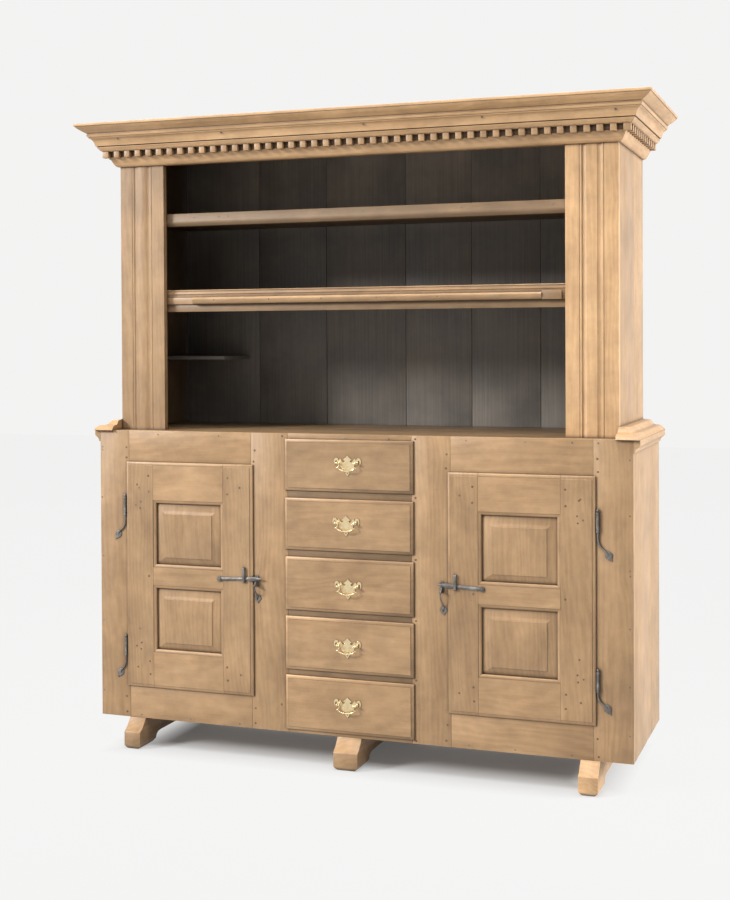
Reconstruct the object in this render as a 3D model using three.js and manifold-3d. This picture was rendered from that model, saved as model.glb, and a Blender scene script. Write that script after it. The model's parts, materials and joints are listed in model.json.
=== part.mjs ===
// Kitchen dresser with an open hutch: a pegged lower case on three sledge feet with two
// panelled doors and five lipped drawers, and a shelved hutch under a dentilled cornice.
// Millimetres, +X to the right, +Y to the back, +Z up. Inside the dresser group, heights
// are measured from the floor, depths from the front face of the lower case, and widths
// from the middle.

import * as THREE from 'three';
import { mergeVertices } from 'three/addons/utils/BufferGeometryUtils.js';
import Module from 'manifold-3d';

const wasm = await Module();
wasm.setup();

// Driving dimensions
const caseWidth = 1850;
const caseDepth = 543;
const caseHeight = 994;
const footHeight = 100;
const hutchFromCaseEnd = 53;
const hutchSetback = 60;
const hutchHeight = 918;
const corniceHeight = 142;
const corniceReach = 118;

// Board thicknesses
const frameBoard = 22;
const sideBoard = 22;
const backBoard = 16;
const topBoard = 20;
const partitionBoard = 18;
const cupboardShelfBoard = 18;
const hutchSideBoard = 22;
const hutchTopBoard = 22;
const pilasterBoard = 22;

// Clearances and overruns
const touchGap = 0.3;
const fitGap = 1.5;
const cutOverrun = 5;
const roundingStep = 0.5;

// Doors: each was made to its own place, so the two differ by some millimetres
const doorAboveCaseBottom = 109;
const doorThickness = 22;
const doorBottomRail = 131.5;
const doorMidRail = 77;
const lowerLightShare = 0.5;
const doorSizes = {
  left: {
    innerStile: 125, outerStile: 104.5, topMargin: 107, topRail: 138, freeStile: 111, hingeStile: 105.5,
    latchFromEdge: 121.5, latchRise: 42.5, guideFromEdge: 27,
    catchFromEdge: 8, catchLeafAcross: -2, catchTailDrop: 46,
    upperHinge: { fromDoorEnd: 174, swing: 30, drop: 72 },
    lowerHinge: { fromDoorEnd: 117, swing: 24.5, drop: 65.5 },
  },
  right: {
    innerStile: 122, outerStile: 115, topMargin: 113.5, topRail: 129, freeStile: 102, hingeStile: 111,
    latchFromEdge: 114.5, latchRise: 55.5, guideFromEdge: 22,
    catchFromEdge: 14.5, catchLeafAcross: 4.5, catchTailDrop: 61.5,
    upperHinge: { fromDoorEnd: 161.5, swing: 35, drop: 74.5 },
    lowerHinge: { fromDoorEnd: 117.5, swing: 30.5, drop: 55 },
  },
};

// Lips and moulded edges
const lipProud = 9;
const lipOverlap = 8;
const lipEdge = 3;
const lipMould = 8;
const lipFillet = 1.2;
const lightMould = 5;

// Raised panels and the grooves that hold them
const grooveDepth = 8;
const grooveFront = 2;
const grooveWidth = 5;
const panelSideMargin = 42;
const panelTopMargin = 39;
const panelBottomMargin = 27;
const panelSunk = 3;
const panelStep = 1.6;

// Drawers, from the top one down
const drawerOpening = 432;
const drawerMiddle = -2;
const drawerHeightShares = [0.19476, 0.1959, 0.20159, 0.2016, 0.20615];
const drawerRailShows = [24, 23.5, 20.5, 19.5];
const drawerTopMargin = 17.5;
const drawerBottomMargin = 11;
const drawerFrontThickness = 22;
const drawerSideBoard = 12;
const drawerBottomBoard = 8;
const drawerBottomInset = 7;
const drawerBackRoom = 44;
const drawerBackDrop = 12;
const runnerWidth = 16;
const runnerHeight = 22;

// Cupboard shelves
const cupboardShelfShare = 0.493;
const cupboardShelfSetback = 22;

// Sledge feet
const footSizes = {
  left: { side: -1, fromCaseEnd: 140, width: 61 },
  middle: { side: 0, fromCaseEnd: 3, width: 84 },
  right: { side: 1, fromCaseEnd: 134, width: 62 },
};
const footReach = 42;
const footPadLength = 112;
const footRelief = 33;
const footToeHeight = 57;
const footChamfer = 12;

// End mouldings on the case top
const endMouldRise = 36;
const endMouldOverhang = 21;
const endMouldFrontLip = 14;
const noseDrop = 17.5;
const noseCove = 22;

// Pilasters
const pilasterWidth = 168;

// Hutch shelves
const shelfBehindPilaster = 2;
const upperShelfTop = 750;
const upperShelfBoard = 24;
const upperShelfFrontHeight = 43;
const upperShelfLip = 20;
const upperShelfChamfer = 13;
const spoonShelfTop = 459;
const spoonShelfBoard = 23;
const plateRailHeight = 30;
const lowerRailHeight = 26;
const spoonRailBoard = 14;
const spoonRailSetback = 6;
const spiceShelfTop = 254;
const spiceShelfBoard = 13;
const spiceShelfWidth = 260;
const spiceShelfDepth = 225;

// Spoon rack
const rackLeftMargin = 104;
const rackRightMargin = 42;
const rackDepth = 18;
const rackChamfer = 4;
const spoonPitchShare = 0.0793;
const spoonEndStepShare = 0.0888;
const spoonsEachSide = 6;
const spoonSlotWidth = 14;
const spoonSlotDepth = 8;

// Cornice
const dentilPitch = 41.1;
const dentilGap = 19;

// Drawer pulls
const pullWidth = 94;
const pullHeight = 68;
const pullBelowMiddle = [-1.5, 0, 9, 5, 1];
const pullAcross = [-2, -8, -2, -5, -6];
const pullPlate = 2;
const postSpread = 64;
const postAboveCentre = 9.5;
const postRadius = 4.5;
const postLength = 17;
const bailFromFace = 15.5;
const boltRadius = 2;
const boltHole = 2.6;
const nutRadius = 5;
const nutThickness = 3;
const bailRadius = 2.1;
const bailDrop = 26;
const bailSocket = 2.7;
const bailHold = 3.4;

// Hinges with rat-tail pintles
const barrelRadius = 5;
const barrelLength = 49;
const pinRadius = 2.6;
const pinBore = 3.1;
const barrelFromDoor = 6.3;
const barrelProud = 5.5;
const collarHeight = 12;
const finialHeight = 12;
const finialRadius = 4.8;
const strapThickness = 2.5;
const strapDepth = 30;
const strapInset = 6;
const tailRadius = 2.8;
const leafWidth = 24;
const leafHeight = 36;
const leafThickness = 2.5;
const leafLean = THREE.MathUtils.degToRad(30);

// Latches
const latchBarHeight = 15;
const latchBarThickness = 4;
const latchBarBeyondDoor = 34;
const latchTipRise = 7;
const latchBossRadius = 8;
const latchBossProud = 2.5;
const latchPinRadius = 3;
const latchPinHole = 3.6;
const latchPinLength = 14;
const guideWidth = 8;
const guideRod = 4;
const guideLift = 43;
const guideClearance = 1;
const catchWidth = 10;
const catchPlate = 3;
const catchPlateRise = 31;
const catchLedgeDepth = 14;
const catchRampDepth = 15;
const catchRampDrop = 12;
const catchLipHeight = 2;
const catchUndercut = 4;
const catchLeafWidth = 24;
const catchLeafHeight = 28;
const catchLeafHole = 5;

// Facets of round pieces
const barrelSides = 14;
const tubeSides = 8;
const tailSteps = 12;
const bailSteps = 24;
const lipSteps = 3;

// Lengths that come from shares are made whole
const rounded = (length) => Math.round(length / roundingStep) * roundingStep;

// Levels and planes that several pieces share
const caseBottom = footHeight;
const caseTop = footHeight + caseHeight;
const halfCase = caseWidth / 2;
const halfHutch = halfCase - hutchFromCaseEnd;
const backFace = caseDepth - backBoard;
const corniceBottom = caseTop + hutchHeight;
const corniceTop = corniceBottom + corniceHeight;
const hutchTopUnderside = corniceTop - hutchTopBoard;
const pilasterBack = hutchSetback + pilasterBoard;
const hutchInside = halfHutch - hutchSideBoard;
const halfHutchOpening = halfHutch - pilasterWidth;
const halfDrawerOpening = drawerOpening / 2;
const bottomBoard = drawerBottomMargin + lipOverlap;
const doorBottom = caseBottom + doorAboveCaseBottom;
const bailPlane = -lipProud - bailFromFace;

// Finishes
const honeyPine = new THREE.Color(0.52, 0.36, 0.2);
const darkPaint = new THREE.Color(0.05, 0.05, 0.045);
const woodFinish = () => new THREE.MeshStandardMaterial({ color: honeyPine, roughness: 0.55, metalness: 0 });
const paintFinish = () => new THREE.MeshStandardMaterial({ color: darkPaint, roughness: 0.7, metalness: 0 });
const ironFinish = () => new THREE.MeshStandardMaterial({ color: 0x3a3836, roughness: 0.5, metalness: 0.9 });
const brassFinish = () => new THREE.MeshStandardMaterial({ color: 0xc9a75a, roughness: 0.3, metalness: 1 });

// Solids: a closed geometry becomes one that can be joined and cut, and back again.
function solid(geometry) {
  const bare = geometry.clone();
  bare.deleteAttribute('normal');
  bare.deleteAttribute('uv');
  const merged = mergeVertices(bare);
  return new wasm.Manifold(new wasm.Mesh({
    numProp: 3,
    vertProperties: new Float32Array(merged.attributes.position.array),
    triVerts: new Uint32Array(merged.index.array),
  }));
}

function geometryOf(piece) {
  const mesh = piece.getMesh();
  const geometry = new THREE.BufferGeometry();
  geometry.setAttribute('position', new THREE.BufferAttribute(mesh.vertProperties, 3));
  geometry.setIndex(new THREE.BufferAttribute(mesh.triVerts, 1));
  geometry.computeVertexNormals();
  return geometry;
}

function block(x0, x1, y0, y1, z0, z1) {
  const box = new THREE.BoxGeometry(x1 - x0, y1 - y0, z1 - z0);
  box.translate((x0 + x1) / 2, (y0 + y1) / 2, (z0 + z1) / 2);
  return solid(box);
}

// An outline of [depth, height] points, drawn out in width
function alongWidth(outline, x0, x1) {
  const shape = new THREE.Shape(outline.map(([y, z]) => new THREE.Vector2(y, z)));
  const drawn = new THREE.ExtrudeGeometry(shape, { depth: x1 - x0, bevelEnabled: false });
  const toWidth = new THREE.Matrix4().makeBasis(
    new THREE.Vector3(0, 1, 0), new THREE.Vector3(0, 0, 1), new THREE.Vector3(1, 0, 0));
  return solid(drawn.applyMatrix4(toWidth).translate(x0, 0, 0));
}

// An outline of [width, height] points, drawn out in depth; holes are outlines too
function alongDepth(outline, y0, y1, holes = []) {
  const shape = new THREE.Shape(outline.map(([x, z]) => new THREE.Vector2(x, z)));
  shape.holes = holes.map((hole) => new THREE.Path(hole.map(([x, z]) => new THREE.Vector2(x, z))));
  const drawn = new THREE.ExtrudeGeometry(shape, { depth: y1 - y0, bevelEnabled: false });
  const toDepth = new THREE.Matrix4().makeBasis(
    new THREE.Vector3(1, 0, 0), new THREE.Vector3(0, 0, 1), new THREE.Vector3(0, -1, 0));
  return solid(drawn.applyMatrix4(toDepth).translate(0, y1, 0));
}

// An outline of [width, depth] points, drawn out in height
function alongHeight(outline, z0, z1) {
  const shape = new THREE.Shape(outline.map(([x, y]) => new THREE.Vector2(x, y)));
  const drawn = new THREE.ExtrudeGeometry(shape, { depth: z1 - z0, bevelEnabled: false });
  return solid(drawn.translate(0, 0, z0));
}

// A turned piece: [radius, height] points from axis to axis, standing at x, y
function turned(profile, x, y, sides = barrelSides) {
  const lathe = new THREE.LatheGeometry(profile.map(([r, z]) => new THREE.Vector2(r, z)), sides);
  return solid(lathe.rotateX(Math.PI / 2).translate(x, y, 0));
}

// The same piece lying along the depth, its height points counted forward from y
function turnedForward(profile, x, y, z, sides = barrelSides) {
  const lathe = new THREE.LatheGeometry(profile.map(([r, out]) => new THREE.Vector2(r, out)), sides);
  return solid(lathe.rotateX(Math.PI).translate(x, y, z));
}

// A rod along a curve
function rod(curve, radius, steps) {
  const section = new THREE.Shape();
  for (let side = 0; side < tubeSides; side += 1) {
    const angle = (side / tubeSides) * 2 * Math.PI;
    const point = [radius * Math.cos(angle), radius * Math.sin(angle)];
    if (side === 0) section.moveTo(...point);
    else section.lineTo(...point);
  }
  return solid(new THREE.ExtrudeGeometry(section, { steps, extrudePath: curve, bevelEnabled: false }));
}

// A solid through a row of four-cornered rings; each ring runs so that the first end faces out
function loft(rings) {
  const positions = rings.flat(2);
  const index = [0, 1, 2, 0, 2, 3];
  const corners = 4;
  for (let ring = 0; ring < rings.length - 1; ring += 1) {
    for (let corner = 0; corner < corners; corner += 1) {
      const a = ring * corners + corner;
      const b = ring * corners + ((corner + 1) % corners);
      index.push(a, a + corners, b + corners, a, b + corners, b);
    }
  }
  const last = (rings.length - 1) * corners;
  index.push(last, last + 2, last + 1, last, last + 3, last + 2);
  const geometry = new THREE.BufferGeometry();
  geometry.setAttribute('position', new THREE.Float32BufferAttribute(positions, 3));
  geometry.setIndex(index);
  return solid(geometry);
}

// A rectangle of the front view, pulled in at each level: [inset, depth], or
// [inset at the sides, depth, inset at the bottom, inset at the top]
function loftBack({ x0, x1, z0, z1 }, levels) {
  return loft(levels.map(([inset, y, below = inset, above = inset]) => [
    [x0 + inset, y, z0 + below],
    [x1 - inset, y, z0 + below],
    [x1 - inset, y, z1 - above],
    [x0 + inset, y, z1 - above],
  ]));
}

// Levels of a quarter-round edge, from the front face to the plane behind it
function roundedEdge(inset, front, back) {
  const levels = [[inset, front], [inset, front + lipFillet]];
  for (let step = 1; step <= lipSteps; step += 1) {
    const angle = (step / lipSteps) * Math.PI / 2;
    levels.push([
      inset * (1 - Math.sin(angle)),
      front + lipFillet + (back - front - lipFillet) * (1 - Math.cos(angle)),
    ]);
  }
  return levels;
}

const mirrored = (outline) => outline.map(([x, z]) => [-x, z]).reverse();

const dresser = new THREE.Group();
const fromFrontToMiddle = (caseDepth - (corniceReach - hutchSetback)) / 2;
dresser.position.y = -fromFrontToMiddle;

function add(name, piece, finish, side = 1) {
  const mesh = new THREE.Mesh(geometryOf(piece), finish());
  mesh.name = name;
  mesh.scale.x = side;
  dresser.add(mesh);
}

// Sides are made once, for the right, and mirrored for the left.
const sides = [['left', -1], ['right', 1]];

// Lower case
function makeCase() {
  const inside = halfCase - sideBoard;
  const side = block(inside, halfCase, frameBoard, caseDepth, caseBottom, caseTop);
  for (const [hand, sign] of sides) {
    const edge = halfDrawerOpening + sign * drawerMiddle;
    const partitionOutside = edge + partitionBoard;
    const partition = block(edge, partitionOutside, frameBoard, backFace,
      caseBottom + bottomBoard, caseTop - topBoard);
    const runner = ({ opening }) => block(
      edge - runnerWidth, edge, frameBoard, backFace, opening.bottom - runnerHeight, opening.bottom);
    const withRunners = drawerPlaces.slice(0, -1)
      .reduce((joined, place) => joined.add(runner(place)), partition);
    const shelfTop = caseBottom + rounded(caseHeight * cupboardShelfShare);
    const shelf = block(partitionOutside, inside, frameBoard + cupboardShelfSetback, backFace,
      shelfTop - cupboardShelfBoard, shelfTop);
    add(`base_side_${hand}`, side, woodFinish, sign);
    add(`partition_${hand}`, withRunners, woodFinish, sign);
    add(`cupboard_shelf_${hand}`, shelf, woodFinish, sign);
  }
  add('base_bottom', block(-inside, inside, frameBoard, backFace, caseBottom, caseBottom + bottomBoard),
    woodFinish);
  add('base_top', block(-inside, inside, frameBoard, backFace, caseTop - topBoard, caseTop), woodFinish);
  add('base_back', block(-inside, inside, backFace, caseDepth, caseBottom, caseTop), woodFinish);
}

function makeFaceFrame() {
  let frame = block(-halfCase, halfCase, 0, frameBoard, caseBottom, caseTop);
  const cut = (x0, x1, z0, z1) => {
    frame = frame.subtract(block(x0, x1, -cutOverrun, frameBoard + cutOverrun, z0, z1));
  };
  for (const [hand, sign] of sides) {
    const { inner, outer, top } = doorPlaces[hand];
    const edges = [sign * (inner + lipOverlap), sign * (outer - lipOverlap)];
    cut(Math.min(...edges), Math.max(...edges), doorBottom + lipOverlap, top - lipOverlap);
  }
  for (const { opening } of drawerPlaces) {
    cut(drawerMiddle - halfDrawerOpening, drawerMiddle + halfDrawerOpening, opening.bottom, opening.top);
  }
  add('face_frame', frame, woodFinish);
}

// Where each drawer front and its opening lie, from the top down
function placeDrawers() {
  let top = caseTop - drawerTopMargin;
  const shown = drawerRailShows.reduce((sum, show) => sum + show, 0);
  const fronts = caseHeight - drawerTopMargin - drawerBottomMargin - shown;
  return drawerHeightShares.map((share, index) => {
    const front = { top, bottom: top - rounded(fronts * share) };
    top = front.bottom - drawerRailShows[index];
    return { front, opening: { top: front.top - lipOverlap, bottom: front.bottom + lipOverlap } };
  });
}
const drawerPlaces = placeDrawers();

// Where each door and what is fixed to it lie, drawn for the right side
function placeDoor(size, sign) {
  const inner = halfDrawerOpening + sign * drawerMiddle + size.innerStile;
  const outer = halfCase - size.outerStile;
  const top = caseTop - size.topMargin;
  const lowerLight = doorBottom + doorBottomRail;
  const lightHeights = top - size.topRail - doorMidRail - lowerLight;
  const midRail = lowerLight + rounded(lightHeights * lowerLightShare);
  const sideways = { x0: inner + size.freeStile, x1: outer - size.hingeStile };
  return {
    ...size,
    inner,
    outer,
    top,
    axis: outer + barrelFromDoor,
    latchPivot: inner + size.latchFromEdge,
    latchLevel: midRail + size.latchRise,
    lights: {
      upper: { ...sideways, z0: midRail + doorMidRail, z1: top - size.topRail },
      lower: { ...sideways, z0: lowerLight, z1: midRail },
    },
    hinges: {
      upper: { ...size.upperHinge, bottom: top - size.upperHinge.fromDoorEnd },
      lower: { ...size.lowerHinge, bottom: doorBottom + size.lowerHinge.fromDoorEnd },
    },
  };
}
const doorPlaces = { left: placeDoor(doorSizes.left, -1), right: placeDoor(doorSizes.right, 1) };

// Sledge foot: a pad in front and behind, a relieved underside, and a coved toe
const toeCoveShares = [[0, 1], [0.12, 0.84], [0.32, 0.6], [0.62, 0.3], [0.95, 0.08], [1, 0]];
const reliefShares = [[0, 0], [0.02, 0.3], [0.08, 0.72], [0.2, 0.95], [0.34, 1]];

function makeFoot(name, { side, fromCaseEnd, width }) {
  const middle = side === 0 ? -fromCaseEnd : side * (halfCase - fromCaseEnd);
  const toe = toeCoveShares.map(([reach, rise]) => [
    -footReach * reach, footToeHeight + (footHeight - footToeHeight) * rise]);
  const pad = -footReach + footPadLength;
  const frontRelief = reliefShares.map(([run, rise]) => [pad + footPadLength * run, footRelief * rise]);
  const backPad = caseDepth - footPadLength;
  const backRelief = reliefShares.map(([run, rise]) => [backPad - footPadLength * run, footRelief * rise]);
  const profile = [
    ...toe, [-footReach, footChamfer], [-footReach + footChamfer, 0],
    ...frontRelief, ...backRelief.reverse(),
    [caseDepth - footChamfer, 0], [caseDepth, footChamfer], [caseDepth, footHeight],
  ];
  const half = width / 2;
  const across = [
    [middle - half, footHeight], [middle - half, footChamfer], [middle - half + footChamfer, 0],
    [middle + half - footChamfer, 0], [middle + half, footChamfer], [middle + half, footHeight],
  ];
  const runner = alongWidth(profile, middle - half, middle + half);
  const front = -footReach - cutOverrun;
  add(name, runner.intersect(alongDepth(across, front, caseDepth + cutOverrun)), woodFinish);
}

// End moulding: a coved hip on the case top beside the hutch, with a nosing over the case side
const hipShares = [[0, 1], [0.3, 0.92], [0.42, 0.72], [0.55, 0.49], [0.73, 0.45], [0.88, 0.3], [1, 0.08]];
const noseShares = [[1, 0], [0.62, 0.3], [0.36, 0.6], [0.2, 1]];

function makeEndMouldings() {
  const width = halfCase + endMouldOverhang - halfHutch;
  const depth = hutchSetback + endMouldFrontLip;
  const sideHip = hipShares.map(([out, rise]) => [halfHutch + width * out, caseTop + endMouldRise * rise]);
  const frontHip = hipShares.map(
    ([out, rise]) => [hutchSetback - depth * out, caseTop + endMouldRise * rise]);
  const lengthwise = alongDepth(
    [[halfHutch, caseTop], ...sideHip, [halfHutch + width, caseTop]], -endMouldFrontLip, caseDepth);
  const crosswise = alongWidth(
    [[caseDepth, caseTop], [caseDepth, caseTop + endMouldRise], ...frontHip, [-endMouldFrontLip, caseTop]],
    halfHutch, halfHutch + width);
  const coveTop = caseTop - noseDrop;
  const cove = noseShares.map(
    ([out, drop]) => [halfCase + endMouldOverhang * out, coveTop - noseCove * drop]);
  const nosing = alongDepth([
    [halfCase, caseTop], [halfCase + endMouldOverhang, caseTop], ...cove, [halfCase, coveTop - noseCove],
  ], 0, caseDepth);
  const moulding = lengthwise.intersect(crosswise).add(nosing);
  for (const [side, sign] of sides) add(`end_moulding_${side}`, moulding, woodFinish, sign);
}

// Pilaster: a flat board worked with a bead and a hollow on each side of its middle
const beadAndHollowShares = [
  [0.265, 0], [0.268, 0.14], [0.281, 0.14], [0.286, 0], [0.317, 0],
  [0.321, 0.27], [0.344, 0.3], [0.368, 0.17], [0.38, 0],
];

function makeHutch() {
  const far = beadAndHollowShares.map(([across, sunk]) => [1 - across, sunk]).reverse();
  const face = [[0, 0], ...beadAndHollowShares, ...far, [1, 0]];
  const worked = face.map(([across, sunk]) => [
    halfHutchOpening + pilasterWidth * across, hutchSetback + pilasterBoard * sunk]);
  const pilaster = alongHeight(
    [...worked, [halfHutch, pilasterBack], [halfHutchOpening, pilasterBack]], caseTop, hutchTopUnderside);
  const side = block(hutchInside, halfHutch, pilasterBack, caseDepth, caseTop, hutchTopUnderside);
  for (const [name, sign] of sides) {
    add(`pilaster_${name}`, pilaster, woodFinish, sign);
    add(`hutch_side_${name}`, side, woodFinish, sign);
  }
  add('hutch_back', block(-hutchInside, hutchInside, backFace, caseDepth, caseTop, hutchTopUnderside),
    paintFinish);
}

const shelfFront = pilasterBack + shelfBehindPilaster;

function makeHutchShelves() {
  const top = caseTop + upperShelfTop;
  const lipBottom = top - upperShelfFrontHeight;
  add('upper_shelf', alongWidth([
    [shelfFront, top], [shelfFront, lipBottom + upperShelfChamfer],
    [shelfFront + upperShelfChamfer, lipBottom], [shelfFront + upperShelfLip, lipBottom],
    [shelfFront + upperShelfLip, top - upperShelfBoard], [backFace, top - upperShelfBoard], [backFace, top],
  ], -hutchInside, hutchInside), woodFinish);

  const level = caseTop + spoonShelfTop;
  const underside = level - spoonShelfBoard;
  const railFront = shelfFront + spoonRailSetback;
  const railBack = railFront + spoonRailBoard;
  add('spoon_shelf', alongWidth([
    [shelfFront, level], [shelfFront, underside],
    [railFront, underside], [railFront, underside - lowerRailHeight],
    [railBack, underside - lowerRailHeight], [railBack, underside],
    [backFace, underside], [backFace, level],
    [railBack, level], [railBack, level + plateRailHeight],
    [railFront, level + plateRailHeight], [railFront, level],
  ], -hutchInside, hutchInside), woodFinish);

  const spiceTop = caseTop + spiceShelfTop;
  add('spice_shelf', block(-hutchInside, -hutchInside + spiceShelfWidth,
    backFace - spiceShelfDepth, backFace, spiceTop - spiceShelfBoard, spiceTop), paintFinish);
}

// Spoon rack: a strip on the nose of the middle shelf, slotted along its back
function makeSpoonRack() {
  const level = caseTop + spoonShelfTop;
  const underside = level - spoonShelfBoard;
  const front = shelfFront - rackDepth;
  const left = -halfHutchOpening + rackLeftMargin;
  const right = halfHutchOpening - rackRightMargin;
  const pitch = rounded((right - left) * spoonPitchShare);
  const endStep = rounded((right - left) * spoonEndStepShare);
  let rack = alongWidth([
    [front, underside + rackChamfer], [front + rackChamfer, underside], [shelfFront, underside],
    [shelfFront, level], [front + rackChamfer, level], [front, level - rackChamfer],
  ], left, right);
  for (let spoon = -spoonsEachSide; spoon <= spoonsEachSide; spoon += 1) {
    const inner = Math.min(Math.abs(spoon), spoonsEachSide - 1);
    const outer = Math.abs(spoon) - inner;
    const step = inner * pitch + outer * endStep;
    const x = (left + right) / 2 + Math.sign(spoon) * step;
    rack = rack.subtract(block(x - spoonSlotWidth / 2, x + spoonSlotWidth / 2,
      shelfFront - spoonSlotDepth, shelfFront + cutOverrun, underside - cutOverrun, level + cutOverrun));
  }
  add('spoon_rack', rack, woodFinish);
}

// Cornice: [reach, height] shares of its section, bottom to top, with the dentil band between
const bedShares = [[0, 0], [0.065, 0.01], [0.135, 0.056], [0.197, 0.148], [0.237, 0.215]];
const dentilBackShare = 0.237;
const dentilFaceShare = 0.381;
const dentilBottomShare = 0.222;
const dentilTopShare = 0.334;
const upperShares = [
  [0.381, 0.345], [0.41, 0.37], [0.47, 0.452], [0.534, 0.472], [0.58, 0.535], [0.64, 0.62],
  [0.68, 0.7], [0.695, 0.77], [0.728, 0.775], [0.728, 0.817], [0.76, 0.83], [0.82, 0.872],
  [0.9, 0.915], [0.955, 0.955], [1, 0.985], [1, 1],
];

function makeCornice() {
  const ring = ([reachShare, heightShare]) => {
    const out = corniceReach * reachShare;
    const z = corniceBottom + corniceHeight * heightShare;
    const x = halfHutch + out;
    const front = hutchSetback - out;
    return [[-x, front, z], [-x, caseDepth, z], [x, caseDepth, z], [x, front, z]];
  };
  const section = [...bedShares, [dentilBackShare, dentilBottomShare], [dentilFaceShare, dentilBottomShare],
    [dentilFaceShare, dentilTopShare], ...upperShares];
  let cornice = loft(section.map(ring));

  const dentilBack = corniceReach * dentilBackShare;
  const dentilFace = corniceReach * dentilFaceShare + cutOverrun;
  const bandBottom = corniceBottom + corniceHeight * dentilBottomShare - touchGap;
  const bandTop = corniceBottom + corniceHeight * dentilTopShare;
  const halfGap = dentilGap / 2;
  const faceHalf = halfHutch + corniceReach * dentilFaceShare;
  const frontGaps = 2 * Math.round((faceHalf - dentilGap) / dentilPitch);
  for (let gap = 0; gap < frontGaps; gap += 1) {
    const x = (gap - (frontGaps - 1) / 2) * dentilPitch;
    cornice = cornice.subtract(block(x - halfGap, x + halfGap,
      hutchSetback - dentilFace, hutchSetback - dentilBack, bandBottom, bandTop));
  }
  const returnStart = hutchSetback - corniceReach * dentilFaceShare + faceHalf
    - (frontGaps - 1) / 2 * dentilPitch;
  for (let y = returnStart; y < caseDepth - dentilGap; y += dentilPitch) {
    for (const [, sign] of sides) {
      const x = [sign * (halfHutch + dentilBack), sign * (halfHutch + dentilFace)];
      cornice = cornice.subtract(block(Math.min(...x), Math.max(...x),
        y - halfGap, y + halfGap, bandBottom, bandTop));
    }
  }
  cornice = cornice.subtract(block(-halfHutch, halfHutch, hutchSetback, caseDepth + cutOverrun,
    corniceBottom - cutOverrun, hutchTopUnderside));
  const frieze = block(-halfHutchOpening, halfHutchOpening, hutchSetback, pilasterBack,
    corniceBottom, hutchTopUnderside);
  add('cornice', cornice.add(frieze), woodFinish);
}

// A board with a moulded lip all round, that closes an opening from the front
function lippedBoard(front, thickness) {
  const body = lipOverlap + fitGap;
  return loftBack(front, [
    ...roundedEdge(lipMould, -lipProud, -lipEdge),
    [0, -touchGap], [body, -touchGap], [body, thickness - lipProud],
  ]);
}

// The cut for a panel: a moulded edge in front, and the groove that holds the panel
function panelCut(light) {
  const edge = roundedEdge(lightMould, -lipProud, -lipEdge).map(([inset, y]) => [-inset, y]);
  const through = loftBack(light, [
    [-lightMould, -lipProud - cutOverrun], ...edge.slice(1), [0, doorThickness - lipProud + cutOverrun],
  ]);
  const groove = [[-grooveDepth, grooveFront], [-grooveDepth, grooveFront + grooveWidth]];
  return through.add(loftBack(light, groove));
}

function raisedPanel(light) {
  const field = -lipProud + panelSunk;
  const tongue = -grooveDepth + fitGap;
  const bevelBack = grooveFront + touchGap;
  return loftBack(light, [
    [panelSideMargin, field, panelBottomMargin, panelTopMargin],
    [panelSideMargin, field + panelStep, panelBottomMargin, panelTopMargin],
    [fitGap, bevelBack], [tongue, bevelBack], [tongue, grooveFront + grooveWidth - touchGap],
  ]);
}

// Doors, drawn for the right side with the hinge away from the middle
function makeDoor(hand, sign) {
  const { inner, outer, top, lights, hinges, latchPivot, latchLevel } = doorPlaces[hand];
  let frame = lippedBoard({ x0: inner, x1: outer, z0: doorBottom, z1: top }, doorThickness);
  for (const [name, light] of Object.entries(lights)) {
    frame = frame.subtract(panelCut(light));
    add(`door_${hand}_${name}_panel`, raisedPanel(light), woodFinish, sign);
  }
  const slot = strapThickness / 2 + touchGap;
  for (const { bottom } of Object.values(hinges)) {
    frame = frame.subtract(block(outer - strapDepth - touchGap, outer + cutOverrun,
      -barrelProud - slot, -barrelProud + slot,
      bottom + strapInset - touchGap, bottom + barrelLength - strapInset + touchGap));
  }
  const pinHole = turnedForward([
    [0, -latchPinLength], [latchPinHole, -latchPinLength], [latchPinHole, cutOverrun], [0, cutOverrun],
  ], latchPivot, -lipProud, latchLevel);
  add(`door_${hand}_frame`, frame.subtract(pinHole), woodFinish, sign);
}

// The half of a hinge that turns with the door: a barrel with a leaf let into the door edge
function makeHingeStrap(hand, sign, level) {
  const { outer, axis, hinges } = doorPlaces[hand];
  const { bottom } = hinges[level];
  const top = bottom + barrelLength;
  const barrel = turned([[0, bottom], [barrelRadius, bottom], [barrelRadius, top], [0, top]],
    axis, -barrelProud);
  const bore = turned([[0, bottom - cutOverrun], [pinBore, bottom - cutOverrun],
    [pinBore, top + cutOverrun], [0, top + cutOverrun]], axis, -barrelProud);
  const leaf = block(outer - strapDepth, axis - (barrelRadius + pinBore) / 2,
    -barrelProud - strapThickness / 2, -barrelProud + strapThickness / 2,
    bottom + strapInset, top - strapInset);
  add(`hinge_strap_${hand}_${level}`, barrel.subtract(bore).add(leaf), ironFinish, sign);
}

// The half that stays: a pin with a finial, and a rat tail that ends in a leaf on the stile
const finialShares = [[1, 0], [1, 0.3], [0.62, 0.42], [0.7, 0.62], [0.3, 0.85], [0, 1]];
const tailShares = [[0, 0], [0, 0.29], [0.24, 0.6], [0.6, 0.76], [0.9, 0.94]];
const leafShares = [[0, 0.5], [0.3, 0.36], [0.5, 0.04], [0.26, -0.2], [0.06, -0.5]];

function leafOutline(x, z, width, height, lean) {
  const right = leafShares.map(([across, up]) => [width * across, height * up]);
  const left = mirrored(right.slice(1));
  return [...right, ...left].map(([across, up]) => [
    x + across * Math.cos(lean) - up * Math.sin(lean), z + across * Math.sin(lean) + up * Math.cos(lean),
  ]);
}

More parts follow.
